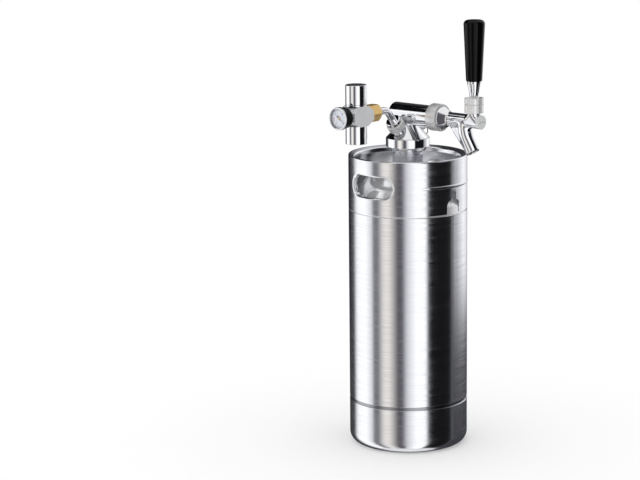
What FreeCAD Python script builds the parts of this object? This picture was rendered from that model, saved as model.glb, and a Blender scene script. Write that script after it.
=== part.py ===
import FreeCAD, Part
import math
import os

# Mini keg beer dispenser. Millimetres, +Z up.
# Origin: the keg's axis at the plane it stands on. +X points the way the tap pours, the pressure
# gauge faces -Y. Names that end in "over" are heights above the keg's rim, "under" below it.

# ---------------------------------------------------------------- keg
keg_radius = 66.0
keg_height = 328.0
sheet = 1.2                    # thickness of the drawn stainless sheet
seam_drop = 60.5               # rim down to the seam under the handle ring
seam_gap = 1.5                 # open width of that seam
groove_height = 52.0           # floor up to the groove over the foot ring
groove_gap = 3.4
edge_round = 0.5               # rounding of the sheet's edges at the seams
lap = 6.0                      # how far each dome's skirt runs behind a seam
foot_round = 12.0              # outer corner of the foot ring
foot_land = 2.4                # width of the flat ring that stands on the table
foot_curl = 2.2                # radius of the curl inside the foot
foot_curl_rise = 6.0
lip_fold = 1.5                 # radius of the fold at the rim
lip_rise = 1.2                 # fold's top over the rim's level
lip_width = 6.6                # how far the lip leans inwards
lip_dip = 1.9                  # how far it falls over that width
lip_curl = 2.6
lip_drop = 6.2
dome_knuckle = 8.0             # radius where the dome's skirt turns inwards
dome_turn = 60.0               # radius where its steep side turns into the crown
dome_turn_radius = 41.0        # distance of that turn from the keg's axis
dome_turn_under = 17.5
dome_top_under = 10.5          # height the crown would have at the neck's bore
base_dome_height = 14.0        # lowest point of the vessel over the table
base_dome_radius = 40.0
base_dome_rise = 2.0
base_knuckle = 22.0

slot_arc = 54.8                # handle slots, measured round the ring
slot_height = 22.8
slot_under = 29.5              # slot's centre
slot_lip = 4.0                 # depth of the turned-in edge round each slot
slot_round = 2.5
rib_under = 29.5               # pressed rib's centre
rib_radius = 2.0
rib_proud = 1.1
rib_spread = 47.0              # the rib dies out this many degrees to each side
bottle_under = 33.0            # top of the bottle-shaped cut-out
bottle_neck_width = 7.4
bottle_neck_height = 11.5
bottle_shoulder_height = 7.5
bottle_body_width = 22.0
bottle_overlap = 1.0           # how far the cut runs past the ring's lower edge

neck_radius = 17.0
neck_bore = 13.2
neck_over = 9.0                # neck's top
neck_chamfer = 1.0
neck_foot_radius = 20.0
neck_foot_height = 3.0
neck_foot_under = 14.5         # underside of the neck's foot, inside the vessel
neck_fillet = 1.0
neck_flare_height = 1.5
thread_fit = 0.1               # radial clearance of a screw thread that turns
running_fit = 0.05             # radial clearance of a shaft in its bore
face_gap = 0.3                 # clearance between flat faces that turn past each other

# ---------------------------------------------------------------- cap and head
seal_height = 1.5
seal_inset = 0.4
flange_height = 3.2
flange_radius = 16.4
spigot_radius = 12.0
cap_radius = 24.2
cap_low_over = 5.0
cap_chamfer = 4.0
cap_round = 0.6
cap_top_over = 18.4
cone_step = 0.6                # how much smaller the cone's foot is than the cap
cone_over = 33.0
cone_top_radius = 9.6
tap_over = 44.3                # tap's axis
tap_radius = 12.0
tap_back = 19.0
tap_back_round = 2.5
tap_front = 36.0
flow_bore = 4.0
riser_bore = 3.0
gas_gallery_radius = 6.6
gas_gallery_over = 23.0
gas_cross_over = 20.8          # cross drilling from the gas port to the gallery
gas_drill = 1.4
dip_tube_radius = 4.0
dip_tube_wall = 0.8
dip_tube_over = 27.5
dip_tube_clear = 9.0           # gap between the tube's foot and the bottom dome
dip_tube_play = 0.5            # room over the tube's upper end
oring_wire = 1.2
oring_over = 25.6

# ---------------------------------------------------------------- faucet
ring_radius = 15.0
ring_length = 13.0
ring_lip = 1.8
ring_round = 0.8
shank_thread_length = 8.0
shank_thread_step = 0.4        # how far the thread is turned down from the tube
faucet_neck_radius = 10.4
faucet_core_radius = 9.2
faucet_flange_length = 1.6
shoulder_radius = 12.8
shoulder_length = 1.2
shoulder_round = 1.6
cone_end = 60.0                # where the faucet's cone reaches the barrel
cone_turn = 4.0
barrel_radius = 7.4
barrel_front = 102.4
end_cap_radius = 7.7
end_cap_length = 2.0
end_cap_round = 0.5
end_cap_plug = 2.4
end_cap_slot_width = 1.6
end_cap_slot_length = 8.0
end_cap_slot_depth = 0.8
lever_at = 93.5
chamber_radius = 7.8
chamber_end = 52.0
shank_room_radius = 6.6        # room in the tap's shank for the plunger's washer and nut
shank_room_from = 37.4
seat_radius = 4.2
seat_length = 3.0
shaft_bore = 5.6
guide_start = 86.5
guide_radius = 4.6
tower_radius = 7.0
tower_flare = 10.5
tower_flare_low_over = 46.0
tower_flare_high_over = 52.0
tower_turn = 6.0
tower_bore = 5.8
tower_over = 57.0
bonnet_radius = 10.3
bonnet_low_over = 54.0
bonnet_split_over = 63.3
bonnet_split = 0.6
bonnet_split_step = 1.0
bonnet_top_over = 70.3
bonnet_edge = 0.5
ball_room = 6.5
funnel_waist = 4.0
funnel_waist_rise = 2.6        # funnel's corners over the lever's pivot
funnel_knee = 6.5
funnel_knee_rise = 5.5
funnel_mouth = 9.4
flute_count = 12
flute_radius = 1.6
flute_depth = 0.4
pivot_over = 62.0
ball_radius = 5.0
ball_washer_height = 2.4
ball_washer_bore = 3.6
lever_neck_radius = 2.6
finger_radius = 1.3
finger_ball_radius = 1.8
finger_slot_play = 0.35
finger_mouth_radius = 3.6
finger_mouth_lift = 0.5
finger_slot_width = 4.2
finger_slot_back = 7.4         # room behind the lever's axis for the swinging finger
finger_slot_knee_over = 48.6
finger_slot_top_over = 52.0
lever_stud_over = 108.0
lever_stud_radius = 3.0
spout_x = 80.6                 # upright part of the spout
outlet_x = 92.4
outlet_over = 10.2
outlet_radius = 7.8
outlet_bore = 5.6
outlet_tilt = 31.0             # outlet's lean from the vertical
spout_bend = 34.0
web_thickness = 3.2
web_back_x = 60.4
web_back_over = 36.0
web_lift = 1.6                 # web's end behind the outlet's face
shaft_radius = 2.5
shaft_tail = 1.0               # shaft's end behind its nut
washer_radius = 6.2
washer_thickness = 2.4
shaft_nut_flats = 8.0
shaft_nut_thickness = 3.2
shaft_land_length = 11.6

# ---------------------------------------------------------------- handle
ferrule_low_over = 72.0
ferrule_top_over = 88.6
ferrule_low_radius = 4.7
ferrule_top_radius = 8.1
ferrule_round = 0.6
ferrule_flutes = 6
ferrule_flute_radius = 2.4
ferrule_flute_bite = 0.7
ferrule_flute_length = 10.4
grip_top_over = 154.8
grip_low_radius = 8.8
grip_top_radius = 11.8
grip_top_round = 4.0
grip_low_round = 0.8

# ---------------------------------------------------------------- gas side
regulator_y = -86.3
regulator_over = 52.2
block_thick = 24.0             # along X
block_long = 31.5              # along Y
block_high = 21.8
block_cut_y = 9.5
block_cut_z = 6.0
canister_radius = 11.6         # the two chrome cylinders over and under the block
collar_height = 1.8
collar_round = 0.4
knob_top_over = 86.0
knob_wall = 1.5
knob_crown = 3.0
knob_round = 0.8
boss_radius = 8.6
boss_wall = 1.4
knob_travel = 3.0              # room over the boss for the knob to screw down
screw_radius = 2.6
screw_reach = 1.0              # adjusting screw's end under the boss's ceiling
spring_wire = 0.7
spring_radius = 4.2
spring_turns = 3.5
button_radius = 6.4
button_height = 1.0
cavity_radius = 10.0
chamber_under_radius = 8.4
chamber_under_depth = 3.0
diaphragm_height = 1.2
plate_height = 1.0
plate_radius = 5.6
valve_seat_under = 3.0         # valve seat's top under the block's axis
valve_seat_height = 1.0
valve_seat_bore = 1.8
valve_room_radius = 4.4
valve_way_radius = 2.6
poppet_radius = 1.4
poppet_head_radius = 3.6
poppet_head_height = 2.4
gauge_way_radius = 1.0
outlet_way_radius = 2.2
socket_low_over = 21.6
socket_thread_radius = 4.3     # minor radius of a 3/8 inch 24 UNF cartridge thread
socket_thread_depth = 10.6
socket_runout_radius = 4.9     # plain room between the thread and the seal
socket_runout_height = 2.4
socket_round = 0.8
cartridge_seal_radius = 5.4
cartridge_seal_bore = 2.6
cartridge_seal_height = 1.6
pin_radius = 1.1
pin_bore = 0.5
pin_tip_radius = 0.7
pin_length = 3.8
pin_point = 1.6
pin_base_radius = 4.0
pin_base_height = 3.0
filter_height = 2.0

gauge_radius = 12.4
gauge_gap = 2.0                # gauge's case in front of the block
gauge_depth = 12.4
gauge_case_radius = 11.5
gauge_case_wall = 1.0
gauge_case_round = 1.0
gauge_bezel_length = 4.6
gauge_bezel_round = 1.0
gauge_window_radius = 10.6
gauge_window_drop = 0.5
gauge_glass_thickness = 1.0
gauge_glass_inset = 0.8
gauge_glass_lip = 0.5
gauge_dial_thickness = 0.6
gauge_dial_inset = 3.0         # dial's face behind the bezel's front
gauge_stem_flats = 9.0
gauge_spigot_radius = 3.0
arbor_radius = 0.7
arbor_length = 5.0
needle_length = 8.4
needle_tail = 3.0
needle_width = 1.1
needle_thickness = 0.4
needle_hub_radius = 1.5
needle_hub_height = 0.6
needle_gap = 0.3               # needle's height over the dial
needle_angle = -38.0           # from the right, anticlockwise, seen from the front
needle_counterweight = 1.3
bourdon_radius = 7.6
bourdon_tube_radius = 1.0
bourdon_sweep = 250.0
bourdon_gap = 0.5              # bent tube behind the bridge
bridge_width = 5.2
bridge_height = 1.0
bridge_bush_radius = 2.2

nut_flats = 17.9
nut_length = 16.6
nut_lip = 2.0
nut_chamfer = 1.4
elbow_corner_y = -35.5         # where the elbow's two straight legs would meet
elbow_radius = 4.0
elbow_bore = 2.2
elbow_bend = 12.0
elbow_flange_radius = 6.4
elbow_flange = 2.0
elbow_foot_radius = 5.2
port_tilt = 40.0               # gas port's lean from the vertical
collar_radius = 8.4
collar_from = 15.6             # collar's start, from the elbow's corner
collar_length = 4.2
gas_collar_round = 1.2
gas_nut_radius = 9.7
gas_nut_length = 9.2
gas_nut_lip = 1.6
gas_nut_round = 0.8
gas_nut_cone = 1.6
port_radius = 6.6
port_length = 8.0
gas_washer_radius = 5.6
gas_washer_height = 1.2
check_valve_radius = 4.4
check_valve_length = 5.0
check_valve_bore = 1.4

relief_over = 22.6             # relief valve's axis where it crosses the keg's axis
relief_rise = 8.0              # degrees that it points up
relief_boss_radius = 3.2
relief_boss_from = 9.0
relief_drill_from = 6.0
relief_body_start = 20.4
relief_hex_flats = 6.4
relief_hex_length = 2.7
relief_body_radius = 3.1
relief_body_length = 6.0
relief_room_radius = 2.5
relief_stem_radius = 1.0
relief_seat_height = 1.4
relief_disc_radius = 2.2
relief_disc_height = 1.0
relief_spring_wire = 0.3
relief_spring_radius = 1.75
relief_spring_turns = 2
relief_travel = 1.5
relief_cap_height = 1.2
relief_stem_out = 2.2
relief_eye_radius = 1.8
pull_ring_radius = 4.4
pull_ring_wire = 0.6

# ---------------------------------------------------------------- worked out from the above
rim = keg_height
shell_radius = keg_radius - sheet
seam_z = rim - seam_drop
tap_z = rim + tap_over
pivot_z = rim + pivot_over
neck_top = rim + neck_over
seal_top = neck_top + seal_height
flange_top = seal_top + flange_height
cap_floor = flange_top + face_gap
cap_top = rim + cap_top_over
head_low = cap_top + face_gap
shank_end = tap_front + shank_thread_length
ring_start = tap_front + face_gap
ring_end = ring_start + ring_length
ring_bore = tap_radius - shank_thread_step + thread_fit
flange_end = ring_end - ring_lip - face_gap
flange_start = flange_end - faucet_flange_length
regulator_z = rim + regulator_over
block_top = regulator_z + block_high / 2.0
block_low = regulator_z - block_high / 2.0
block_front_y = regulator_y - block_long / 2.0
block_back_y = regulator_y + block_long / 2.0
collar_top = block_top + collar_height
knob_top = rim + knob_top_over
knob_ceiling = knob_top - knob_crown
boss_top = knob_ceiling - knob_travel
screw_end = boss_top - boss_wall - screw_reach
diaphragm_low = block_top - diaphragm_height
valve_seat_top = regulator_z - valve_seat_under
valve_seat_low = valve_seat_top - valve_seat_height
socket_low = rim + socket_low_over
socket_thread_end = socket_low + socket_thread_depth
cartridge_seal_low = socket_thread_end + socket_runout_height
pin_base_low = cartridge_seal_low + cartridge_seal_height
filter_low = pin_base_low + pin_base_height
gauge_back_y = block_front_y - gauge_gap
gauge_face_y = gauge_back_y - gauge_depth
dial_back = gauge_dial_inset + gauge_dial_thickness
arbor_end = gauge_dial_inset - needle_gap + arbor_length
nut_start_y = block_back_y + face_gap
nut_end_y = nut_start_y + nut_length
elbow_start_y = nut_end_y - nut_lip - face_gap - elbow_flange
gas_nut_from = collar_from + collar_length + face_gap
elbow_leg = gas_nut_from + gas_nut_lip + face_gap + elbow_flange
port_from = elbow_leg + gas_washer_height
relief_eye = relief_body_start + relief_body_length + relief_cap_height + relief_stem_out

X = FreeCAD.Vector(1, 0, 0)
Y = FreeCAD.Vector(0, 1, 0)
Z = FreeCAD.Vector(0, 0, 1)
ORIGIN = FreeCAD.Vector(0, 0, 0)


def at(x, y, z):
    return FreeCAD.Vector(x, y, z)


def save(name, shape):
    os.makedirs("parts", exist_ok=True)
    if not shape.isValid():
        print("not valid:", name)
    shape.exportStep("parts/" + name + ".step")


# ---------------------------------------------------------------- shapes that repeat
def rod(radius, low, high):
    """Solid cylinder on the Z axis between two heights."""
    return Part.makeCylinder(radius, high - low, at(0, 0, low))


def pipe(outer, inner, low, high):
    """Hollow cylinder on the Z axis between two heights."""
    return rod(outer, low, high).cut(rod(inner, low, high))


def placed(shape, base, turn):
    """Turns a shape about the origin, then moves it to base."""
    copy = shape.copy()
    copy.Placement = FreeCAD.Placement(base, turn).multiply(shape.Placement)
    return copy


def onto(shape, base, direction):
    """Moves a shape built on +Z so that it starts at base and points along direction."""
    return placed(shape, base, FreeCAD.Rotation(Z, direction))


def moved(shape, x, y, z):
    return placed(shape, at(x, y, z), FreeCAD.Rotation())


def line(start, stop):
    return Part.LineSegment(start, stop).toShape()


def bent_path(start, corner, end, bend):
    """Straight, arc and straight from start past a rounded corner to end."""
    into = (corner - start).normalize()
    out = (end - corner).normalize()
    turn = into.getAngle(out)
    reach = bend * math.tan(turn / 2.0)
    first = corner - into * reach
    last = corner + out * reach
    inward = (out - into).normalize()
    middle = corner + inward * (bend / math.cos(turn / 2.0) - bend)
    return [line(start, first), Part.Arc(first, middle, last).toShape(), line(last, end)]


def swept(edges, radius):
    """Round rod of that radius along a path of edges."""
    start = edges[0].valueAt(edges[0].FirstParameter)
    direction = edges[0].tangentAt(edges[0].FirstParameter)
    ring = Part.Wire(Part.makeCircle(radius, start, direction))
    return Part.Wire(edges).makePipeShell([ring], True, False)


def path_edges(corners):
    """Edges through (radius, height, rounding) corners, with an arc at every rounded one."""
    points = [at(corner[0], 0, corner[1]) for corner in corners]
    edges = []
    here = points[0]
    for corner_point, after, corner in zip(points[1:], points[2:], corners[1:]):
        rounding = corner[2]
        if rounding <= 0:
            edges.append(line(here, corner_point))
            here = corner_point
            continue
        straight, arc, rest = bent_path(here, corner_point, after, rounding)
        edges += [straight, arc]
        here = rest.valueAt(rest.FirstParameter)
    edges.append(line(here, points[-1]))
    return edges


def lathe(corners):
    """Turns a closed outline of (radius, height[, rounding]) corners about the Z axis."""
    full = [tuple(corner) + (0,) * (3 - len(corner)) for corner in corners]
    face = Part.Face(Part.Wire(path_edges(full + [full[0]])))
    return face.revolve(ORIGIN, Z, 360)


def offset_corners(corners, thickness):
    """The same open path, moved sideways by thickness to the left of its direction."""
    points = [at(corner[0], 0, corner[1]) for corner in corners]
    normals = []
    for start, stop in zip(points, points[1:]):
        along = (stop - start).normalize()
        normals.append(at(-along.z, 0, along.x))
    moved_corners = []
    for index, point in enumerate(points):
        before = normals[max(index - 1, 0)]
        after = normals[min(index, len(normals) - 1)]
        middle = (before + after).normalize()
        shift = middle * (thickness / middle.dot(after))
        turns_left = before.cross(after).y < 0
        rounding = corners[index][2]
        if rounding > 0:
            rounding = rounding - thickness if turns_left else rounding + thickness
        new_x = point.x + shift.x if point.x > 0 else 0
        moved_corners.append((new_x, point.z + shift.z, max(rounding, 0)))
    return moved_corners


def drawn_sheet(corners, thickness):
    """A sheet of even thickness turned about Z: corners give its outer side, bottom to top."""
    inner_corners = offset_corners(corners, thickness)
    ends = []
    for outer_end, inner_end in ((corners[0], inner_corners[0]), (corners[-1], inner_corners[-1])):
        ends.append(line(at(outer_end[0], 0, outer_end[1]), at(inner_end[0], 0, inner_end[1])))
    edges = path_edges(corners) + path_edges(inner_corners) + ends
    return Part.Face(Part.Wire(Part.__sortEdges__(edges))).revolve(ORIGIN, Z, 360)


def prism(flats, sides, low, high):
    """Upright prism with that many sides, measured across its flats."""
    corner_radius = flats / 2.0 / math.cos(math.pi / sides)
    corners = []
    for index in range(sides + 1):
        angle = 2 * math.pi * index / sides
        corners.append(at(corner_radius * math.cos(angle), corner_radius * math.sin(angle), low))
    return Part.Face(Part.makePolygon(corners)).extrude(Z * (high - low))


def plate(points, thickness):
    """Flat plate, centred on the XZ plane, with the given (x, z) corners."""
    corners = [at(x, -thickness / 2.0, z) for x, z in points]
    return Part.Face(Part.makePolygon(corners + [corners[0]])).extrude(Y * thickness)


def coil(radius, wire_radius, low, high, turns):
    """Round-wire compression spring on the Z axis that fills the height from low to high."""
    height = high - low - 2 * wire_radius
    helix = Part.makeHelix(height / turns, height, radius)
    section = Part.Wire(Part.makeCircle(wire_radius, at(radius, 0, 0), Y))
    spring = Part.Wire(helix).makePipeShell([section], True, True)
    return moved(spring, 0, 0, low + wire_radius)


def flutes(radius, low, high):
    """The cuts of the coarse upright flutes round a cylinder."""
    centre = radius + flute_radius - flute_depth
    cuts = []
    for index in range(flute_count):
        angle = 2 * math.pi * index / flute_count
        cuts.append(moved(rod(flute_radius, low, high), centre * math.cos(angle),
                          centre * math.sin(angle), 0))
    return Part.makeCompound(cuts)


def radial(point):
    return math.hypot(point.x, point.y)


def pick_edges(shape, wanted):
    """Edges on which every one of five probe points satisfies wanted."""
    picked = []
    for edge in shape.Edges:
        first, last = edge.ParameterRange
        probes = [edge.valueAt(first + (last - first) * step / 4.0) for step in range(5)]
        if all(wanted(probe) for probe in probes):
            picked.append(edge)
    return picked


# ---------------------------------------------------------------- keg
def keg_wall():
    low = groove_height + groove_gap / 2.0
    high = seam_z - seam_gap / 2.0
    return lathe([(shell_radius, low), (keg_radius, low, edge_round),
                  (keg_radius, high, edge_round), (shell_radius, high)])


def top_dome():
    corners = [(shell_radius, seam_z - lap, 0),
               (shell_radius, seam_z + lap + seam_gap, dome_knuckle),
               (dome_turn_radius, rim - dome_turn_under, dome_turn),
               (neck_bore, rim - dome_top_under, 0)]
    return drawn_sheet(corners, sheet).cut(rod(neck_foot_radius, seam_z, rim))


def bottom_dome():
    corners = [(0, base_dome_height, 0),
               (base_dome_radius, base_dome_height + base_dome_rise, base_dome_radius),
               (shell_radius, groove_height - lap - base_knuckle / 2.0, base_knuckle),
               (shell_radius, groove_height + lap, 0)]
    return drawn_sheet(corners, sheet)


def foot_ring():
    high = groove_height - groove_gap / 2.0
    curl_x = keg_radius - foot_round - foot_land - foot_curl
    corners = [(curl_x, foot_curl_rise, 0), (curl_x, 0, foot_curl),
               (keg_radius, 0, foot_round), (keg_radius, high, 0)]
    ring = drawn_sheet(corners, sheet)
    top_edge = pick_edges(ring, lambda p: p.z > high - edge_round and radial(p) > shell_radius + edge_round)
    return ring.makeFillet(edge_round, top_edge)


def slot_chord():
    return 2 * keg_radius * math.sin(slot_arc / 2.0 / keg_radius)


def slot_prism(grow):
    """Round-ended prism along +Y through the ring, larger than the slot by grow all round."""
    end = slot_height / 2.0 + grow
    straight = slot_chord() / 2.0 - slot_height / 2.0
    depth = keg_radius * 2
    centre = at(0, 0, rim - slot_under)
    box = Part.makeBox(2 * straight, depth, 2 * end, centre - at(straight, 0, end))
    left = Part.makeCylinder(end, depth, centre - X * straight, Y)
    right = Part.makeCylinder(end, depth, centre + X * straight, Y)
    return box.fuse([left, right]).removeSplitter()


def turned_edge():
    """The turned-in wall round the handle slot at +Y."""
    band = pipe(keg_radius - sheet / 2.0, keg_radius - sheet - slot_lip, seam_z, rim)
    return slot_prism(sheet).common(band)


def bottle_cut():
    """Cuts the bottle-shaped hole through the ring at +X, open at the ring's lower edge."""
    top = rim - bottle_under
    neck_half = bottle_neck_width / 2.0
    body_half = bottle_body_width / 2.0
    neck_end = top - bottle_neck_height
    shoulder_end = neck_end - bottle_shoulder_height
    low = seam_z - bottle_overlap
    depth = keg_radius / 2.0
    share = math.sin(math.radians(45))
    middle_y = neck_half + (body_half - neck_half) * share
    middle_z = shoulder_end + bottle_shoulder_height * share
    edges = [line(at(depth, -body_half, low), at(depth, body_half, low))]
    for side in (1, -1):
        body_top = at(depth, side * body_half, shoulder_end)
        neck_low = at(depth, side * neck_half, neck_end)
        edges += [line(at(depth, side * body_half, low), body_top),
                  Part.Arc(body_top, at(depth, side * middle_y, middle_z), neck_low).toShape(),
                  line(neck_low, at(depth, side * neck_half, top - neck_half))]
    edges.append(Part.Arc(at(depth, neck_half, top - neck_half), at(depth, 0, top),
                          at(depth, -neck_half, top - neck_half)).toShape())
    return Part.Face(Part.Wire(Part.__sortEdges__(edges))).extrude(X * keg_radius)


def pressed_rib():
    """A rib that swells out of the ring at +X and dies out to both sides."""
    swell = rib_proud / (1 - math.cos(math.radians(rib_spread)))
    outer = keg_radius + rib_proud - swell
    ring = Part.makeTorus(outer - rib_radius, rib_radius, at(swell, 0, rim - rib_under), Z)
    return ring.cut(rod(keg_radius - sheet / 2.0, seam_z, rim))


def handle_ring():
    low = seam_z + seam_gap / 2.0
    lip_x = keg_radius - lip_width
    fold_top = rim + lip_rise
    corners = [(keg_radius, low, 0), (keg_radius, fold_top, lip_fold),
               (lip_x, rim - lip_dip, lip_curl), (lip_x - lip_dip / 2.0, rim - lip_drop, 0)]
    edge_wall = turned_edge()
    slot = slot_prism(0)
    ring = drawn_sheet(corners, sheet)
    ring = ring.fuse([edge_wall, edge_wall.mirror(ORIGIN, Y), pressed_rib()])
    ring = ring.cut([slot, slot.mirror(ORIGIN, Y), bottle_cut()])

    def on_slot_edge(point):
        near_x = abs(point.x) < slot_chord() / 2.0 + slot_round
        near_z = abs(point.z - rim + slot_under) < slot_height / 2.0 + slot_round
        return near_x and near_z and radial(point) > shell_radius + sheet / 2.0

    return ring.makeFillet(slot_round, pick_edges(ring, on_slot_edge))


def keg_neck():
    """Threaded mouth of the keg, welded into the dome."""
    low = rim - neck_foot_under
    step = low + neck_foot_height
    return lathe([(neck_bore, low), (neck_foot_radius, low), (neck_foot_radius, step, neck_fillet),
                  (neck_radius, step + neck_flare_height, neck_fillet),
                  (neck_radius, neck_top - neck_chamfer), (neck_radius - neck_chamfer, neck_top),
                  (neck_bore, neck_top)])


# ---------------------------------------------------------------- cap and head
def neck_seal():
    return pipe(neck_radius - seal_inset, neck_bore, neck_top, seal_top)


def head_flange():
    """Disc under the cap's floor that presses the seal onto the neck."""
    return pipe(flange_radius, gas_gallery_radius, seal_top, flange_top)


def cap_nut():
    low = rim + cap_low_over
    bore = neck_radius + thread_fit
    hole = spigot_radius + thread_fit
    return lathe([(bore, low), (cap_radius - cap_chamfer, low), (cap_radius, low + cap_chamfer),
                  (cap_radius, cap_top, cap_round), (hole, cap_top), (hole, cap_floor),
                  (bore, cap_floor)])


def port_direction():
    tilt = math.radians(port_tilt)
    return at(0, math.sin(tilt), -math.cos(tilt))


def port_point(distance):
    """Point on the gas port's axis, that far from the elbow's corner."""
    return at(0, elbow_corner_y, regulator_z) + port_direction() * distance


def at_port(shape, distance):
    return onto(shape, port_point(distance), port_direction())


def relief_direction():
    rise = math.radians(relief_rise)
    return at(0, math.cos(rise), math.sin(rise))


def at_relief(shape, distance):
    """Puts a shape on the relief valve's axis, that far from the keg's axis."""
    return onto(shape, at(0, 0, rim + relief_over) + relief_direction() * distance, relief_direction())


def along_tap(shape, x):
    return onto(shape, at(x, 0, tap_z), X)


def head_blank():
    """Cone with its two side bosses, spigot and horizontal tap tube."""
    cone = lathe([(0, head_low), (cap_radius - cone_step, head_low), (cone_top_radius, rim + cone_over),
                  (cone_top_radius, tap_z), (0, tap_z)])
    port = at_port(rod(port_radius, 0, port_length), port_from)
    relief = at_relief(rod(relief_boss_radius, 0, relief_body_start - relief_boss_from), relief_boss_from)
    upper = cone.fuse([port, relief]).common(rod(2 * cap_radius, head_low, tap_z))
    spigot = rod(spigot_radius, flange_top, head_low)
    tube_length = tap_back + tap_front
    tube = along_tap(lathe([(0, 0), (tap_radius, 0, tap_back_round), (tap_radius, tube_length),
                            (0, tube_length)]), -tap_back)
    thread = along_tap(rod(tap_radius - shank_thread_step, 0, shank_thread_length), tap_front)
    return upper.fuse([spigot, tube, thread])


def tap_head():
    """Cone, tap tube, spigot, gas port and relief boss in one turned and brazed piece."""
    seat_top = rim + dip_tube_over + dip_tube_play
    gallery = rod(gas_gallery_radius, flange_top, rim + gas_gallery_over)
    tube_seat = rod(dip_tube_radius + running_fit, rim + gas_gallery_over, seat_top)
    oring_groove = Part.makeTorus(dip_tube_radius + oring_wire, oring_wire + running_fit,
                                  at(0, 0, rim + oring_over), Z)
    riser = rod(riser_bore, seat_top, tap_z)
    flow = along_tap(rod(flow_bore, 0, shank_end), 0)
    room = along_tap(rod(shank_room_radius, 0, shank_end - shank_room_from), shank_room_from)
    mouth = at_port(rod(check_valve_radius, 0, check_valve_length), port_from)
    cross_at = (regulator_over - gas_cross_over) / math.cos(math.radians(port_tilt))
    drill = at_port(rod(gas_drill, 0, cross_at - port_from), port_from)
    cross_reach = -port_point(cross_at).y
    cross = Part.makeCylinder(gas_drill, cross_reach, at(0, -cross_reach, rim + gas_cross_over), Y)
    relief_drill = at_relief(rod(gas_drill, 0, relief_body_start - relief_drill_from), relief_drill_from)
    return head_blank().cut([gallery, tube_seat, oring_groove, riser, flow, room, mouth, drill, cross,
                             relief_drill])


def dip_tube():
    low = base_dome_height + sheet + dip_tube_clear
    return pipe(dip_tube_radius, dip_tube_radius - dip_tube_wall, low, rim + dip_tube_over)


def dip_tube_oring():
    ring = Part.makeTorus(dip_tube_radius + oring_wire, oring_wire, at(0, 0, rim + oring_over), Z)
    return ring.cut(rod(dip_tube_radius, rim, tap_z))


# ---------------------------------------------------------------- faucet
def coupling_ring():
    """Threaded ring that pulls the faucet onto the tap tube."""
    hole = faucet_neck_radius + thread_fit
    lip = ring_length - ring_lip
    return along_tap(lathe([(ring_bore, 0), (ring_radius, 0, ring_round),
                            (ring_radius, ring_length, ring_round), (hole, ring_length), (hole, lip),
                            (ring_bore, lip)]), ring_start)


def coupling_washer():
    return along_tap(pipe(faucet_neck_radius, shank_room_radius, 0, flange_start - shank_end), shank_end)


def retaining_ring():
    """Split ring on the faucet's rear end that the coupling ring pulls against."""
    outer = ring_bore - thread_fit
    return along_tap(pipe(outer, faucet_core_radius, 0, faucet_flange_length), flange_start)


def faucet_barrel():
    """Turned outside of the faucet along the tap's axis."""
    shoulder = ring_end + face_gap
    cone_start = shoulder + shoulder_length
    return along_tap(lathe([(0, flange_start), (faucet_core_radius, flange_start),
                            (faucet_core_radius, flange_end), (faucet_neck_radius, flange_end),
                            (faucet_neck_radius, shoulder), (shoulder_radius, shoulder),
                            (shoulder_radius, cone_start, shoulder_round),
                            (barrel_radius, cone_end, cone_turn), (barrel_radius, barrel_front),
                            (0, barrel_front)]), 0)


def tower():
    """Upright socket on the barrel, flared where it meets it and cut off flush with its front."""
    flare_low = rim + tower_flare_low_over
    post = lathe([(0, tap_z), (tower_radius, tap_z), (tower_radius, flare_low), (tower_flare, flare_low),
                  (tower_radius, rim + tower_flare_high_over, tower_turn),
                  (tower_radius, rim + tower_over), (0, rim + tower_over)])
    reach = 2 * tower_flare
    width = Part.makeBox(reach + barrel_front - lever_at, 2 * barrel_radius, tower_over,
                         at(-reach, -barrel_radius, rim))
    return moved(post.common(width), lever_at, 0, 0)


def outlet_direction():
    tilt = math.radians(outlet_tilt)
    return at(math.sin(tilt), 0, -math.cos(tilt))


def spout_path():
    """From the barrel's axis straight down, then round a wide bend to the slanted outlet."""
    outlet = at(outlet_x, 0, rim + outlet_over)
    rise = (outlet_x - spout_x) / math.tan(math.radians(outlet_tilt))
    corner = at(spout_x, 0, outlet.z + rise)
    return bent_path(at(spout_x, 0, tap_z), corner, outlet, spout_bend)


def spout_web():
    """Thin web between the foot of the cone and the back of the spout."""
    down = outlet_direction()
    across = at(down.z, 0, -down.x)
    low = at(outlet_x, 0, rim + outlet_over) - down * web_lift
    back = low + across * outlet_radius
    return plate([(web_back_x, rim + web_back_over), (back.x, back.z), (low.x, low.z), (spout_x, tap_z),
                  (web_back_x, tap_z)], web_thickness)


def finger_slot():
    """Room in the barrel's top wall for the lever's swinging finger."""
    back = lever_at - finger_slot_back
    return plate([(lever_at, tap_z), (back, tap_z), (back, rim + finger_slot_knee_over),
                  (lever_at - tower_bore, rim + finger_slot_top_over),
                  (lever_at, rim + finger_slot_top_over)], finger_slot_width)


def faucet_body():
    body = faucet_barrel().fuse([tower(), swept(spout_path(), outlet_radius), spout_web()])
    chamber = along_tap(rod(chamber_radius, 0, chamber_end - flange_start), flange_start)
    seat = along_tap(rod(seat_radius, 0, seat_length), chamber_end)
    seat_front = chamber_end + seat_length
    bore = along_tap(rod(shaft_bore, 0, guide_start - seat_front), seat_front)
    guide = along_tap(rod(guide_radius, 0, barrel_front - guide_start), guide_start)
    tower_hole = moved(rod(tower_bore, tap_z, rim + tower_over), lever_at, 0, 0)
    return body.cut([chamber, seat, bore, guide, tower_hole, finger_slot(),
                     swept(spout_path(), outlet_bore)])


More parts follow.
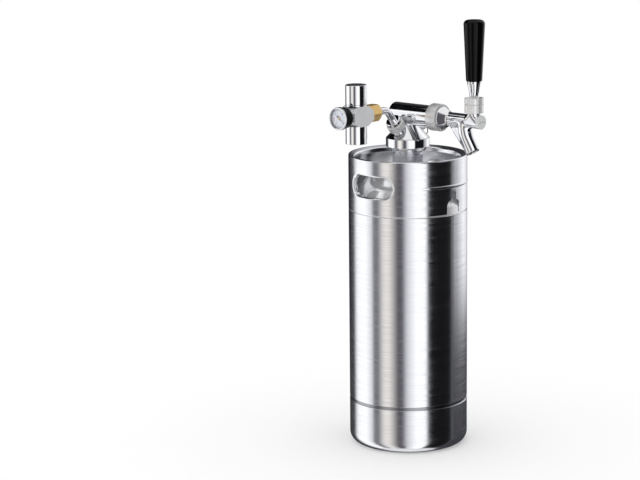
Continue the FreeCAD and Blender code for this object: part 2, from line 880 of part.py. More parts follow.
def faucet_end_cap():
    """Flat screwed plug that closes the front of the barrel."""
    plug = rod(guide_radius, -end_cap_plug, 0)
    face = lathe([(0, 0), (end_cap_radius, 0, end_cap_round),
                  (end_cap_radius, end_cap_length, end_cap_round), (0, end_cap_length)])
    slot = Part.makeBox(end_cap_slot_width, end_cap_slot_length, end_cap_slot_depth,
                        at(-end_cap_slot_width / 2.0, -end_cap_slot_length / 2.0,
                           end_cap_length - end_cap_slot_depth))
    return along_tap(plug.fuse(face).cut(slot), barrel_front)


def bonnet():
    """Fluted ring screwed onto the tower, with room for the lever's ball."""
    low = rim + bonnet_low_over
    high = rim + bonnet_split_over
    ring = lathe([(tower_radius, low), (bonnet_radius, low, bonnet_edge),
                  (bonnet_radius, high, bonnet_edge), (ball_room, high), (ball_room, rim + tower_over),
                  (tower_radius, rim + tower_over)])
    return moved(ring.cut(flutes(bonnet_radius, low, high)), lever_at, 0, 0)


def ball_socket():
    return Part.makeSphere(ball_radius + running_fit, at(0, 0, pivot_z))


def bonnet_lock_ring():
    """Upper fluted ring that holds the ball down and opens into a funnel for the lever."""
    low = rim + bonnet_split_over
    split = low + bonnet_split
    high = rim + bonnet_top_over
    inner = bonnet_radius - bonnet_split_step
    ring = lathe([(funnel_waist, low), (inner, low), (inner, split), (bonnet_radius, split, bonnet_edge),
                  (bonnet_radius, high, bonnet_edge), (funnel_mouth, high),
                  (funnel_knee, pivot_z + funnel_knee_rise), (funnel_waist, pivot_z + funnel_waist_rise)])
    return moved(ring.cut([flutes(bonnet_radius, split, high), ball_socket()]), lever_at, 0, 0)


def ball_washer():
    low = rim + tower_over
    outer = pipe(ball_room - running_fit, ball_washer_bore, low, low + ball_washer_height)
    return moved(outer.cut(ball_socket()), lever_at, 0, 0)


def tap_lever():
    """Ball lever: finger and tip under the ball, neck and threaded stud over it."""
    ball = Part.makeSphere(ball_radius, at(0, 0, pivot_z))
    neck = rod(lever_neck_radius, pivot_z, rim + ferrule_low_over)
    stud = rod(lever_stud_radius, rim + ferrule_low_over, rim + lever_stud_over)
    finger = rod(finger_radius, tap_z, pivot_z)
    tip = Part.makeSphere(finger_ball_radius, at(0, 0, tap_z))
    return moved(ball.fuse([neck, stud, finger, tip]), lever_at, 0, 0)


def plunger_shaft():
    """Sliding shaft: land with the finger's slot in front, thin stem and thread behind."""
    land_start = lever_at - shaft_land_length / 2.0
    tail = chamber_end - washer_thickness - shaft_nut_thickness - shaft_tail
    land = along_tap(rod(guide_radius - running_fit, 0, shaft_land_length), land_start)
    stem = along_tap(rod(shaft_radius, 0, land_start - tail), tail)
    slot_radius = finger_ball_radius + finger_slot_play
    slot = moved(rod(slot_radius, tap_z - guide_radius, tap_z + guide_radius), lever_at, 0, 0)
    mouth = Part.makeCone(slot_radius, finger_mouth_radius, guide_radius,
                          at(lever_at, 0, tap_z + finger_mouth_lift), Z)
    return land.fuse(stem).cut([slot, mouth])


def seat_washer():
    return along_tap(pipe(washer_radius, shaft_radius, 0, washer_thickness), chamber_end - washer_thickness)


def shaft_nut():
    nut = prism(shaft_nut_flats, 6, 0, shaft_nut_thickness).cut(rod(shaft_radius, 0, shaft_nut_thickness))
    return along_tap(nut, chamber_end - washer_thickness - shaft_nut_thickness)


# ---------------------------------------------------------------- handle
def handle_ferrule():
    """Flared metal collar with shallow flutes between the lever and the grip."""
    low = rim + ferrule_low_over
    high = rim + ferrule_top_over
    ferrule = lathe([(lever_stud_radius, low), (ferrule_low_radius, low),
                     (ferrule_top_radius, high, ferrule_round), (lever_stud_radius, high)])
    mean = (ferrule_low_radius + ferrule_top_radius) / 2.0
    lean = math.atan2(ferrule_top_radius - ferrule_low_radius, high - low)
    cuts = []
    for index in range(ferrule_flutes):
        angle = 2 * math.pi * index / ferrule_flutes
        out = at(math.cos(angle), math.sin(angle), 0)
        axis = out * math.sin(lean) + Z * math.cos(lean)
        middle = out * (mean + ferrule_flute_radius - ferrule_flute_bite) + Z * ((low + high) / 2.0)
        start = middle - axis * (ferrule_flute_length / 2.0)
        cuts.append(Part.makeCylinder(ferrule_flute_radius, ferrule_flute_length, start, axis))
    return moved(ferrule.cut(cuts), lever_at, 0, 0)


def handle_grip():
    low = rim + ferrule_top_over
    high = rim + grip_top_over
    stud_end = rim + lever_stud_over
    grip = lathe([(0, stud_end), (lever_stud_radius, stud_end), (lever_stud_radius, low),
                  (grip_low_radius, low, grip_low_round), (grip_top_radius, high, grip_top_round),
                  (0, high)])
    return moved(grip, lever_at, 0, 0)


# ---------------------------------------------------------------- regulator
def at_regulator(shape):
    return moved(shape, 0, regulator_y, 0)


def regulator_block():
    """Flat octagonal body with the diaphragm chamber, valve room and three ways."""
    half_y = block_long / 2.0
    half_z = block_high / 2.0
    flat_y = half_y - block_cut_y
    flat_z = half_z - block_cut_z
    outline = []
    for y, z in ((flat_y, half_z), (half_y, flat_z), (half_y, -flat_z), (flat_y, -half_z),
                 (-flat_y, -half_z), (-half_y, -flat_z), (-half_y, flat_z), (-flat_y, half_z)):
        outline.append(at(-block_thick / 2.0, y, regulator_z + z))
    block = Part.Face(Part.makePolygon(outline + [outline[0]])).extrude(X * block_thick)
    chamber_floor = diaphragm_low - chamber_under_depth
    middle = at(0, 0, regulator_z)
    cuts = [rod(cavity_radius, diaphragm_low, block_top),
            rod(chamber_under_radius, chamber_floor, diaphragm_low),
            rod(valve_way_radius, valve_seat_top, chamber_floor),
            rod(valve_room_radius, block_low, valve_seat_top),
            Part.makeCylinder(gauge_way_radius, half_y, middle, Y * -1),
            Part.makeCylinder(outlet_way_radius, half_y, middle, Y)]
    return at_regulator(block.cut(cuts))


def regulator_bonnet():
    """Chrome collar and boss over the diaphragm, which the knob turns on."""
    inner = boss_radius - boss_wall
    screw_hole = screw_radius + thread_fit
    ceiling = boss_top - boss_wall
    return at_regulator(lathe([(inner, block_top), (canister_radius, block_top),
                               (canister_radius, collar_top, collar_round), (boss_radius, collar_top),
                               (boss_radius, boss_top), (screw_hole, boss_top), (screw_hole, ceiling),
                               (inner, ceiling)]))


def adjusting_knob():
    """Chrome thimble with the adjusting screw in its middle."""
    low = collar_top + face_gap
    inner = canister_radius - knob_wall
    return at_regulator(lathe([(0, screw_end), (screw_radius, screw_end), (screw_radius, knob_ceiling),
                               (inner, knob_ceiling), (inner, low), (canister_radius, low),
                               (canister_radius, knob_top, knob_round), (0, knob_top)]))


def diaphragm():
    return at_regulator(rod(cavity_radius, diaphragm_low, block_top))


def diaphragm_plate():
    return at_regulator(rod(plate_radius, block_top, block_top + plate_height))


def spring_button():
    high = screw_end - face_gap
    return at_regulator(rod(button_radius, high - button_height, high))


def pressure_spring():
    high = screw_end - face_gap - button_height
    return at_regulator(coil(spring_radius, spring_wire, block_top + plate_height, high, spring_turns))


def poppet():
    stem = rod(poppet_radius, valve_seat_low, diaphragm_low)
    head = rod(poppet_head_radius, valve_seat_low - poppet_head_height, valve_seat_low)
    return at_regulator(stem.fuse(head))


def poppet_seat():
    return at_regulator(pipe(valve_room_radius, valve_seat_bore, valve_seat_low, valve_seat_top))


def cartridge_socket():
    """Chrome cylinder under the block that a gas cartridge is screwed into."""
    return at_regulator(lathe([(socket_thread_radius, socket_low),
                               (canister_radius, socket_low, socket_round),
                               (canister_radius, block_low), (pin_base_radius, block_low),
                               (pin_base_radius, pin_base_low), (cartridge_seal_radius, pin_base_low),
                               (cartridge_seal_radius, cartridge_seal_low),
                               (socket_runout_radius, cartridge_seal_low),
                               (socket_runout_radius, socket_thread_end),
                               (socket_thread_radius, socket_thread_end)]))


def cartridge_seal():
    return at_regulator(pipe(cartridge_seal_radius, cartridge_seal_bore, cartridge_seal_low, pin_base_low))


def piercing_pin():
    tip = pin_base_low - pin_length
    return at_regulator(lathe([(pin_bore, tip), (pin_tip_radius, tip), (pin_radius, tip + pin_point),
                               (pin_radius, pin_base_low), (pin_base_radius, pin_base_low),
                               (pin_base_radius, filter_low), (pin_bore, filter_low)]))


def inlet_filter():
    return at_regulator(rod(pin_base_radius, filter_low, filter_low + filter_height))


# ---------------------------------------------------------------- gauge, built facing +Z
def at_gauge(shape):
    """Turns a shape whose front lies at height 0 and faces +Z to the gauge's place."""
    return placed(shape, at(0, gauge_face_y, regulator_z), FreeCAD.Rotation(X, Z, Y * -1, "ZXY"))


def gauge_case():
    back = -gauge_depth
    floor = back + gauge_case_wall
    inner = gauge_case_radius - gauge_case_wall
    return at_gauge(lathe([(gauge_spigot_radius, back), (gauge_case_radius, back, gauge_case_round),
                           (gauge_case_radius, -dial_back), (inner, -dial_back), (inner, floor),
                           (gauge_spigot_radius, floor)]))


def gauge_bezel():
    """Snap-on ring that holds the window and grips the case."""
    glass_radius = gauge_window_radius + gauge_glass_lip
    glass_low = -gauge_glass_inset - gauge_glass_thickness
    return at_gauge(lathe([(gauge_window_radius, -gauge_dial_inset), (gauge_case_radius, -gauge_dial_inset),
                           (gauge_case_radius, -gauge_bezel_length), (gauge_radius, -gauge_bezel_length),
                           (gauge_radius, 0, gauge_bezel_round), (gauge_window_radius, -gauge_window_drop),
                           (gauge_window_radius, -gauge_glass_inset), (glass_radius, -gauge_glass_inset),
                           (glass_radius, glass_low), (gauge_window_radius, glass_low)]))


def gauge_glass():
    high = -gauge_glass_inset
    return at_gauge(rod(gauge_window_radius + gauge_glass_lip, high - gauge_glass_thickness, high))


def gauge_dial():
    return at_gauge(pipe(gauge_case_radius, arbor_radius + running_fit, -dial_back, -gauge_dial_inset))


def gauge_needle():
    """Pointer with its counterweight, hub and the arbor that turns in the dial."""
    low = needle_gap - gauge_dial_inset
    high = low + needle_thickness
    half = needle_width / 2.0
    outline = [at(-needle_tail, half, low), at(-needle_tail, -half, low), at(needle_length, 0, low)]
    blade = Part.Face(Part.makePolygon(outline + [outline[0]])).extrude(Z * needle_thickness)
    weight = moved(rod(needle_counterweight, low, high), -needle_tail, 0, 0)
    hub = rod(needle_hub_radius, low, low + needle_hub_height)
    needle = rod(arbor_radius, -arbor_end, low).fuse([hub, blade, weight])
    return at_gauge(placed(needle, ORIGIN, FreeCAD.Rotation(Z, needle_angle)))


def bourdon_tube():
    """Bent tube inside the gauge, brazed to the case's floor."""
    middle = -arbor_end - bourdon_gap - bourdon_tube_radius
    low_end = at(0, -bourdon_radius, middle)
    section = Part.Face(Part.Wire(Part.makeCircle(bourdon_tube_radius, low_end, X)))
    bend = section.revolve(at(0, 0, middle), Z, bourdon_sweep)
    foot_length = middle + gauge_depth - gauge_case_wall
    foot = Part.makeCylinder(bourdon_tube_radius, foot_length, low_end, Z * -1)
    return at_gauge(bend.fuse(foot))


def movement_bridge():
    """Small bar across the case with the bush that carries the arbor's inner end."""
    bush = pipe(bridge_bush_radius, arbor_radius + running_fit, -arbor_end, -dial_back)
    reach = gauge_case_radius - gauge_case_wall
    bar = pipe(reach, bridge_bush_radius, -arbor_end, bridge_height - arbor_end)
    strip = Part.makeBox(4 * gauge_radius, bridge_width, gauge_depth,
                         at(-2 * gauge_radius, -bridge_width / 2.0, -gauge_depth))
    return at_gauge(bar.common(strip).fuse(bush))


def gauge_stem():
    """Hexagonal stem between the block and the gauge's case."""
    back = -gauge_depth
    stem = prism(gauge_stem_flats, 6, back - gauge_gap, back)
    spigot = rod(gauge_spigot_radius, back, back + gauge_case_wall)
    bore = rod(gauge_way_radius, back - gauge_gap, back + gauge_case_wall)
    return at_gauge(stem.fuse(spigot).cut(bore))


# ---------------------------------------------------------------- gas line to the head
def brass_nut():
    """Long hexagonal nut that clamps the elbow to the regulator's outlet."""
    corner = nut_flats / 2.0 / math.cos(math.pi / 6)
    face = corner - nut_chamfer
    blank = lathe([(0, 0), (face, 0), (corner, nut_chamfer), (corner, nut_length - nut_chamfer),
                   (face, nut_length), (0, nut_length)])
    bore = rod(elbow_flange_radius + thread_fit, 0, nut_length - nut_lip)
    throat = rod(elbow_radius + thread_fit, 0, nut_length)
    nut = prism(nut_flats, 6, 0, nut_length).common(blank).cut([bore, throat])
    return onto(nut, at(0, nut_start_y, regulator_z), Y)


def regulator_outlet():
    """Threaded outlet of the regulator, inside the brass nut."""
    stub = pipe(elbow_flange_radius, outlet_way_radius, 0, elbow_start_y - block_back_y)
    return onto(stub, at(0, block_back_y, regulator_z), Y)


def elbow_tube():
    """Bent chrome tube with its two flanges and the collar over the gas nut."""
    start = at(0, elbow_start_y, regulator_z)
    path = bent_path(start, port_point(0), port_point(elbow_leg), elbow_bend)
    flange = onto(rod(elbow_flange_radius, 0, elbow_flange), start, Y)
    collar = at_port(lathe([(0, 0), (collar_radius, 0, gas_collar_round), (collar_radius, collar_length),
                            (0, collar_length)]), collar_from)
    foot = at_port(rod(elbow_foot_radius, 0, elbow_leg - collar_from), collar_from)
    foot_flange = at_port(rod(elbow_flange_radius, 0, elbow_flange), elbow_leg - elbow_flange)
    outer = swept(path, elbow_radius).fuse([flange, collar, foot, foot_flange])
    return outer.cut(swept(path, elbow_bore))


def gas_nut():
    """Round satin nut that clamps the elbow's foot onto the gas port."""
    bore = port_radius + thread_fit
    lip_hole = elbow_foot_radius + thread_fit
    shoulder = gas_nut_length - gas_nut_cone
    return at_port(lathe([(lip_hole, 0), (gas_nut_radius, 0, gas_nut_round), (gas_nut_radius, shoulder),
                          (gas_nut_radius - gas_nut_cone, gas_nut_length), (bore, gas_nut_length),
                          (bore, gas_nut_lip), (lip_hole, gas_nut_lip)]), gas_nut_from)


def gas_washer():
    return at_port(pipe(gas_washer_radius, elbow_bore, 0, gas_washer_height), elbow_leg)


def check_valve():
    return at_port(pipe(check_valve_radius, check_valve_bore, 0, check_valve_length), port_from)


# ---------------------------------------------------------------- pressure relief valve
def relief_body():
    hexagon = prism(relief_hex_flats, 6, 0, relief_hex_length)
    tube = rod(relief_body_radius, 0, relief_body_length)
    room = rod(relief_room_radius, relief_seat_height, relief_body_length)
    inlet = rod(gas_drill, 0, relief_body_length)
    return at_relief(hexagon.fuse(tube).cut([room, inlet]), relief_body_start)


def relief_cap():
    high = relief_body_length + relief_cap_height
    return at_relief(pipe(relief_body_radius, relief_stem_radius + running_fit, relief_body_length, high),
                     relief_body_start)


def pull_ring_torus(wire_radius):
    """Ring that hangs upright from the eye of the relief valve's stem."""
    eye = at(0, 0, rim + relief_over) + relief_direction() * relief_eye
    return Part.makeTorus(pull_ring_radius, wire_radius, eye - Z * pull_ring_radius, Y)


def relief_stem():
    """Stem with its sealing disc inside and an eye for the pull ring outside."""
    disc_low = relief_body_start + relief_seat_height + running_fit
    disc = at_relief(rod(relief_disc_radius, 0, relief_disc_height), disc_low)
    stem = at_relief(rod(relief_stem_radius, 0, relief_eye - disc_low), disc_low)
    eye = at_relief(Part.makeSphere(relief_eye_radius), relief_eye)
    return disc.fuse([stem, eye]).cut(pull_ring_torus(pull_ring_wire + running_fit))


def relief_spring():
    """Spring under the cap; the disc reaches its lower end when the ring is pulled."""
    low = relief_seat_height + relief_disc_height + relief_travel + thread_fit
    return at_relief(coil(relief_spring_radius, relief_spring_wire, low, relief_body_length,
                          relief_spring_turns), relief_body_start)


def pull_ring():
    return pull_ring_torus(pull_ring_wire)


# ---------------------------------------------------------------- write every piece
PIECES = [
    keg_wall, top_dome, bottom_dome, foot_ring, handle_ring, keg_neck,
    neck_seal, head_flange, cap_nut, tap_head, dip_tube, dip_tube_oring,
    coupling_ring, coupling_washer, retaining_ring, faucet_body, faucet_end_cap,
    bonnet, bonnet_lock_ring, ball_washer, tap_lever, plunger_shaft, seat_washer, shaft_nut,
    handle_ferrule, handle_grip,
    regulator_block, regulator_bonnet, adjusting_knob, diaphragm, diaphragm_plate, spring_button,
    pressure_spring, poppet, poppet_seat, cartridge_socket, cartridge_seal, piercing_pin, inlet_filter,
    gauge_case, gauge_bezel, gauge_glass, gauge_dial, gauge_needle, bourdon_tube, movement_bridge,
    gauge_stem, brass_nut, regulator_outlet, elbow_tube, gas_nut, gas_washer, check_valve,
    relief_body, relief_cap, relief_stem, relief_spring, pull_ring,
]

for build_piece in PIECES:
    save(build_piece.__name__, build_piece())
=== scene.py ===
"""Looks of a stainless mini keg with its screw-on tap head, gas regulator and relief valve.

Sizes are in millimetres and angles in degrees, unless a comment or docstring says otherwise.
"""

import logging
import math
from collections.abc import Sequence
from dataclasses import dataclass
from enum import Enum

import bmesh
import bpy
from mathutils import Matrix, Vector


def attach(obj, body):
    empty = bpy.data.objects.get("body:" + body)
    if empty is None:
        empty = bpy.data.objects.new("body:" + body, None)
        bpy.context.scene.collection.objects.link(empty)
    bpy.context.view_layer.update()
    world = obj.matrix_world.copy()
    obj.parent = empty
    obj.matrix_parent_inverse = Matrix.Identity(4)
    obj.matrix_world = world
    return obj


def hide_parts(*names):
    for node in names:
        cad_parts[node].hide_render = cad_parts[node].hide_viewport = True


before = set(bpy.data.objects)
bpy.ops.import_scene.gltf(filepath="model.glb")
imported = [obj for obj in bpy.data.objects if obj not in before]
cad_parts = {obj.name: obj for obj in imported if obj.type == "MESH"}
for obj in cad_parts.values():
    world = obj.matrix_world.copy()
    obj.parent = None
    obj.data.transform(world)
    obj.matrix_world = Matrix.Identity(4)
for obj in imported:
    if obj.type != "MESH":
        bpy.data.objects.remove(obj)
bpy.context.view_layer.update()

LOG = logging.getLogger("mini_keg")
MM = 0.001
TURN_STEPS = 96                # faces round a turned shape
ROUND_STEPS = 5                # faces over a rounded edge
ROUND_PROFILE = 0.5            # a circle's arc over that edge
BAR_TURN = 4.0                 # degrees from one section of a bar to the next, at most
SEAM_REACH = 1e-5              # metres within which a turned shape's corners are welded
COPY_REACH = 1e-6              # metres within which a CAD mesh's corners are welded
SHARP_ANGLE = math.radians(32)
NOISE_DETAIL = 3.0
NOISE_SPAN = (0.3, 0.7)        # the noise's values over which roughness is spread
ACROSS_GRAIN = 0.25            # turns by which a brushed surface's smear stands across its marks
MIX_FIRST, MIX_SECOND, MIX_OUT = 6, 7, 2  # a mix node's sockets for colours


# ---------------------------------------------------------------- colours and nodes
def srgb(code: str) -> tuple[float, float, float, float]:
    """Turns an sRGB hex colour to linear.

    Args:
        code: six hex digits, such as "E4E5E7".

    Returns:
        Linear red, green and blue, and an alpha of 1.
    """
    shares = [int(code[start:start + 2], 16) / 255 for start in (0, 2, 4)]
    linear = [s / 12.92 if s <= 0.04045 else ((s + 0.055) / 1.055) ** 2.4 for s in shares]
    return (*linear, 1.0)


def add_node(tree: bpy.types.NodeTree, kind: str, settings: dict | None = None,
             links: dict | None = None) -> bpy.types.Node:
    """Adds a shader node.

    Args:
        tree: the node tree it goes into.
        kind: the node's type.
        settings: values by the name or number of an input, or by the name of a property.
        links: for the name or number of an input, the output that feeds it.

    Returns:
        The new node.
    """
    node = tree.nodes.new(kind)
    for name, value in (settings or {}).items():
        if isinstance(name, int) or name in node.inputs:
            node.inputs[name].default_value = value
        else:
            setattr(node, name, value)
    for name, source in (links or {}).items():
        tree.links.new(source, node.inputs[name])
    return node


# ---------------------------------------------------------------- finishes
class Grain(Enum):
    """How the fine marks of a surface lie: their length along X, Y and Z as multiples of their spacing."""

    AROUND_Z = (60.0, 60.0, 1.0)
    AROUND_X = (1.0, 60.0, 60.0)
    AROUND_Y = (60.0, 1.0, 60.0)
    EVEN = (1.0, 1.0, 1.0)


@dataclass(frozen=True)
class Finish:
    """A surface: what it is made of, how it was made and the fine marks that this leaves.

    A pattern of noise, spacing millimetres from one mark to the next, lies along the grain. It shifts
    the colour towards the second one, spreads the roughness and lifts the surface by relief millimetres.
    """

    name: str
    colour: str
    marks: str
    roughness: float
    spread: float = 0.03
    metallic: float = 0.0
    ior: float | None = None
    spacing: float = 1.0
    relief: float = 0.0
    grain: Grain = Grain.EVEN
    anisotropic: float = 0.0
    alpha: float = 1.0
    specular: float = 0.5

    def material(self) -> bpy.types.Material:
        """Returns the material, which is made the first time."""
        found = bpy.data.materials.get(self.name)
        if found is not None:
            return found
        material = bpy.data.materials.new(self.name)
        material.use_nodes = True
        tree = material.node_tree
        shader = tree.nodes["Principled BSDF"]
        self._set_constants(shader)
        self._add_marks(tree, shader)
        return material

    def _set_constants(self, shader: bpy.types.Node) -> None:
        """Sets what is the same all over the surface on the shader's own sockets."""
        shader.inputs["Metallic"].default_value = self.metallic
        if self.ior is not None:
            shader.inputs["IOR"].default_value = self.ior
        shader.inputs["Anisotropic"].default_value = self.anisotropic
        shader.inputs["Anisotropic Rotation"].default_value = ACROSS_GRAIN if self.anisotropic else 0.0
        shader.inputs["Alpha"].default_value = self.alpha
        shader.inputs["Specular IOR Level"].default_value = self.specular

    def _add_marks(self, tree: bpy.types.NodeTree, shader: bpy.types.Node) -> None:
        """Adds the noise that varies colour, roughness and height."""
        place = add_node(tree, "ShaderNodeTexCoord").outputs["Object"]
        scale = [1.0 / (self.spacing * MM * length) for length in self.grain.value]
        mapped = add_node(tree, "ShaderNodeMapping", {"Scale": scale}, {"Vector": place})
        noise = add_node(tree, "ShaderNodeTexNoise", {"Scale": 1.0, "Detail": NOISE_DETAIL},
                         {"Vector": mapped.outputs["Vector"]}).outputs["Fac"]
        tint = add_node(tree, "ShaderNodeMix", {"data_type": "RGBA"}, {"Factor": noise})
        tint.inputs[MIX_FIRST].default_value = srgb(self.colour)
        tint.inputs[MIX_SECOND].default_value = srgb(self.marks)
        tree.links.new(tint.outputs[MIX_OUT], shader.inputs["Base Color"])
        low, high = max(self.roughness - self.spread, 0.0), self.roughness + self.spread
        span = {"From Min": NOISE_SPAN[0], "From Max": NOISE_SPAN[1], "To Min": low, "To Max": high}
        rough = add_node(tree, "ShaderNodeMapRange", span, {"Value": noise})
        tree.links.new(rough.outputs["Result"], shader.inputs["Roughness"])
        if self.relief > 0:
            bump = add_node(tree, "ShaderNodeBump", {"Strength": 1.0, "Distance": self.relief * MM},
                            {"Height": noise})
            tree.links.new(bump.outputs["Normal"], shader.inputs["Normal"])


# Drawn 304 stainless, brushed round the keg and buffed: reflections stay crisp from side to side and
# smear up and down. The real hairlines are 0.05 mm apart; they are drawn coarser so that they show.
BRUSHED_KEG_STEEL = Finish("brushed_304_stainless_sheet", "E6E7EA", "D6D7DB", 0.19, 0.08, metallic=1.0,
                           spacing=0.9, relief=0.004, grain=Grain.AROUND_Z, anisotropic=0.4)
# The same steel on the dip tube and the flange, as pickled: dull and even.
PICKLED_STEEL = Finish("pickled_304_stainless", "BFC0C2", "A9AAAD", 0.34, 0.06, metallic=1.0, spacing=3.0,
                       relief=0.004)
# The lower dome's skirt, made darker as painted shade in the seam's groove: it darkens what the groove
# mirrors.
WELD_DULLED_STEEL = Finish("weld_dulled_304_stainless", "A4A5A9", "929397", 0.22, 0.06, metallic=1.0,
                           spacing=0.9, relief=0.002, grain=Grain.AROUND_Z)
# The vessel's dome, drawn deep and buffed, with long soft waves: its colour is painted lighter than the
# wall's, as painted light from above. It is set a little short of fully metallic, so that the room's light
# also falls on it evenly and lifts it further.
BUFFED_DOME = Finish("deep_drawn_buffed_304_stainless", "F6F6F7", "EAEBED", 0.15, 0.05, metallic=0.6,
                     spacing=6.0, relief=0.01, grain=Grain.AROUND_Z)
# The mouth, turned from thick tube: fine rings of tool marks that blur what it mirrors.
TURNED_MOUTH = Finish("turned_304_stainless_mouth", "E0E2E6", "D0D2D7", 0.28, 0.05, metallic=1.0, spacing=0.9,
                      relief=0.001, grain=Grain.AROUND_Z)
# Bright chromium over buffed brass castings: a mirror with the faint waviness that hand buffing leaves.
CHROMED_CASTING = Finish("bright_chrome_plated_casting", "ECEDEF", "E4E5E8", 0.05, 0.015, metallic=1.0,
                         spacing=9.0, relief=0.006)
# Bright chromium over turned parts: a straight mirror.
CHROMED_TURNING = Finish("bright_chrome_plated_turning", "ECEDEF", "E6E7EA", 0.04, 0.01, metallic=1.0,
                         spacing=14.0, relief=0.001)
# Nickel-plated and satin-turned rings: fine rings of tool marks that spread the reflection.
# The matt plating scatters part of the light evenly, so it is a little short of fully metallic.
SATIN_RING_X = Finish("satin_turned_nickel_across_tap", "E2E2E2", "D4D4D5", 0.36, 0.04, metallic=0.7,
                      spacing=0.9, relief=0.0004, grain=Grain.AROUND_X)
SATIN_RING_Z = Finish("satin_turned_nickel_upright", "E8E8E8", "DCDCDD", 0.36, 0.04, metallic=0.62,
                      spacing=0.9, relief=0.0004, grain=Grain.AROUND_Z)
# The same plating on the faucet's flat front plug, whose duller face hardly mirrors.
SATIN_PLUG = Finish("satin_faced_nickel_plug", "E2E4E4", "D6D8D8", 0.5, 0.05, metallic=0.4, spacing=0.9,
                    relief=0.001, grain=Grain.AROUND_X)
# Small cast fittings, vapour blasted before plating: soft and even, with no tool marks.
SATIN_CASTING = Finish("vapour_blasted_nickel", "E4E4E4", "D6D6D8", 0.36, 0.05, metallic=0.5, spacing=0.7,
                       relief=0.002)
# Bead-blasted aluminium: an even, dull, fine-grained grey that scatters most of the light.
BLASTED_BLOCK = Finish("bead_blasted_aluminium", "E4E5E6", "D8D9DB", 0.5, 0.05, metallic=0.45, spacing=0.5,
                       relief=0.004)
# Bare machined brass: warm and bright, softened by the tool marks round the bar and a thin tarnish.
TURNED_BRASS = Finish("machined_brass_bar", "FFDC98", "F0C678", 0.26, 0.05, metallic=0.8, spacing=0.9,
                      relief=0.001, grain=Grain.AROUND_Y)
# Machined brass inside, browned by air: darker, with a wide soft highlight.
INNER_BRASS = Finish("dulled_machined_brass", "C9A566", "A8854A", 0.34, 0.06, metallic=1.0, spacing=0.8,
                     relief=0.002)
# Compression-moulded phenolic, polished: near black and very glossy, with a faint flow in the gloss.
BLACK_PHENOLIC = Finish("polished_moulded_phenolic", "030304", "060607", 0.1, 0.02, ior=1.5, spacing=6.0,
                        relief=0.002, specular=0.14)
# Stoved black enamel on the gauge's steel case: black, with a low sheen.
BLACK_ENAMEL = Finish("stoved_black_enamel", "060607", "0B0B0D", 0.3, 0.04, ior=1.5, spacing=2.0,
                      relief=0.002, specular=0.15)
# The bezel's rolled and polished front: a narrow bright line round the window.
BEZEL_STEEL = Finish("rolled_polished_stainless_bezel", "DADBDD", "CFD0D3", 0.12, 0.03, metallic=1.0,
                     spacing=4.0, relief=0.001)
# The dial's matt white lacquer: it gives no highlight of its own behind the glass.
DIAL_LACQUER = Finish("matt_white_dial_lacquer", "F0F1F9", "E8EAF4", 0.5, 0.05, ior=1.5, spacing=2.0)
# Pad-printed ink: thin, flat and dull.
BLACK_INK = Finish("black_pad_printed_ink", "15151A", "1E1E24", 0.5, 0.05, ior=1.5, spacing=1.0)
RED_INK = Finish("red_pad_printed_ink", "C4343C", "B22C34", 0.5, 0.05, ior=1.5, spacing=1.0)
# A thin pane: mostly see-through, with a faint gloss and a cool cast.
WINDOW_GLASS = Finish("thin_float_glass", "EEF2F8", "E6ECF4", 0.02, 0.01, ior=1.52, spacing=5.0, alpha=0.14)
# Drawn wire: a grey metal sheen with fine scratches along it.
SPRING_STEEL = Finish("drawn_spring_wire", "B9BABD", "9FA0A4", 0.28, 0.06, metallic=1.0, spacing=0.6,
                      relief=0.001)
# Moulded rubber: black and dull, with a fine bloom.
BLACK_RUBBER = Finish("moulded_nitrile_rubber", "131313", "1B1B1B", 0.55, 0.08, ior=1.52, spacing=0.7,
                      relief=0.004)
# Turned PTFE: a waxy white with a soft sheen.
WHITE_PTFE = Finish("turned_white_ptfe", "E9E9E4", "DEDED8", 0.45, 0.06, ior=1.35, spacing=0.9,
                    relief=0.003)
# Sintered bronze: rough grains that catch the light one by one.
SINTERED_BRONZE = Finish("sintered_bronze_filter", "8E6B3C", "5F4526", 0.6, 0.1, metallic=1.0, spacing=0.4,
                         relief=0.02)

NODE_FINISHES = {
    BRUSHED_KEG_STEEL: ("keg_wall", "foot_ring", "handle_ring"),
    # The lower dome's skirt carries the painted shade of the seam's groove.
    WELD_DULLED_STEEL: ("bottom_dome",),
    # The vessel's dome carries painted light from above.
    BUFFED_DOME: ("top_dome",),
    PICKLED_STEEL: ("dip_tube", "head_flange"),
    TURNED_MOUTH: ("keg_neck",),
    SATIN_RING_Z: ("bonnet", "bonnet_lock_ring"),
    SATIN_RING_X: ("coupling_ring",),
    SATIN_PLUG: ("faucet_end_cap",),
    SATIN_CASTING: ("gas_nut", "relief_body", "relief_cap", "relief_stem", "plunger_shaft", "shaft_nut"),
    CHROMED_CASTING: ("tap_head", "faucet_body", "handle_ferrule", "tap_lever"),
    CHROMED_TURNING: ("cap_nut", "adjusting_knob", "regulator_bonnet", "cartridge_socket", "elbow_tube"),
    BLASTED_BLOCK: ("regulator_block",),
    TURNED_BRASS: ("brass_nut",),
    INNER_BRASS: ("diaphragm_plate", "spring_button", "poppet", "bourdon_tube", "movement_bridge",
                  "gauge_stem", "regulator_outlet"),
    BLACK_PHENOLIC: ("handle_grip",),
    BLACK_ENAMEL: ("gauge_case", "gauge_bezel", "gauge_needle"),
    DIAL_LACQUER: ("gauge_dial",),
    WINDOW_GLASS: ("gauge_glass",),
    SPRING_STEEL: ("pressure_spring", "relief_spring", "pull_ring", "retaining_ring", "piercing_pin"),
    BLACK_RUBBER: ("neck_seal", "dip_tube_oring", "coupling_washer", "seat_washer", "diaphragm",
                   "check_valve"),
    WHITE_PTFE: ("ball_washer", "poppet_seat", "cartridge_seal", "gas_washer"),
    SINTERED_BRONZE: ("inlet_filter",),
}


def dress_nodes() -> None:
    """Gives every CAD node its finish."""
    for finish, names in NODE_FINISHES.items():
        for name in names:
            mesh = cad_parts[name].data
            mesh.materials.clear()
            mesh.materials.append(finish.material())
    LOG.info("dressed %d nodes", sum(len(names) for names in NODE_FINISHES.values()))


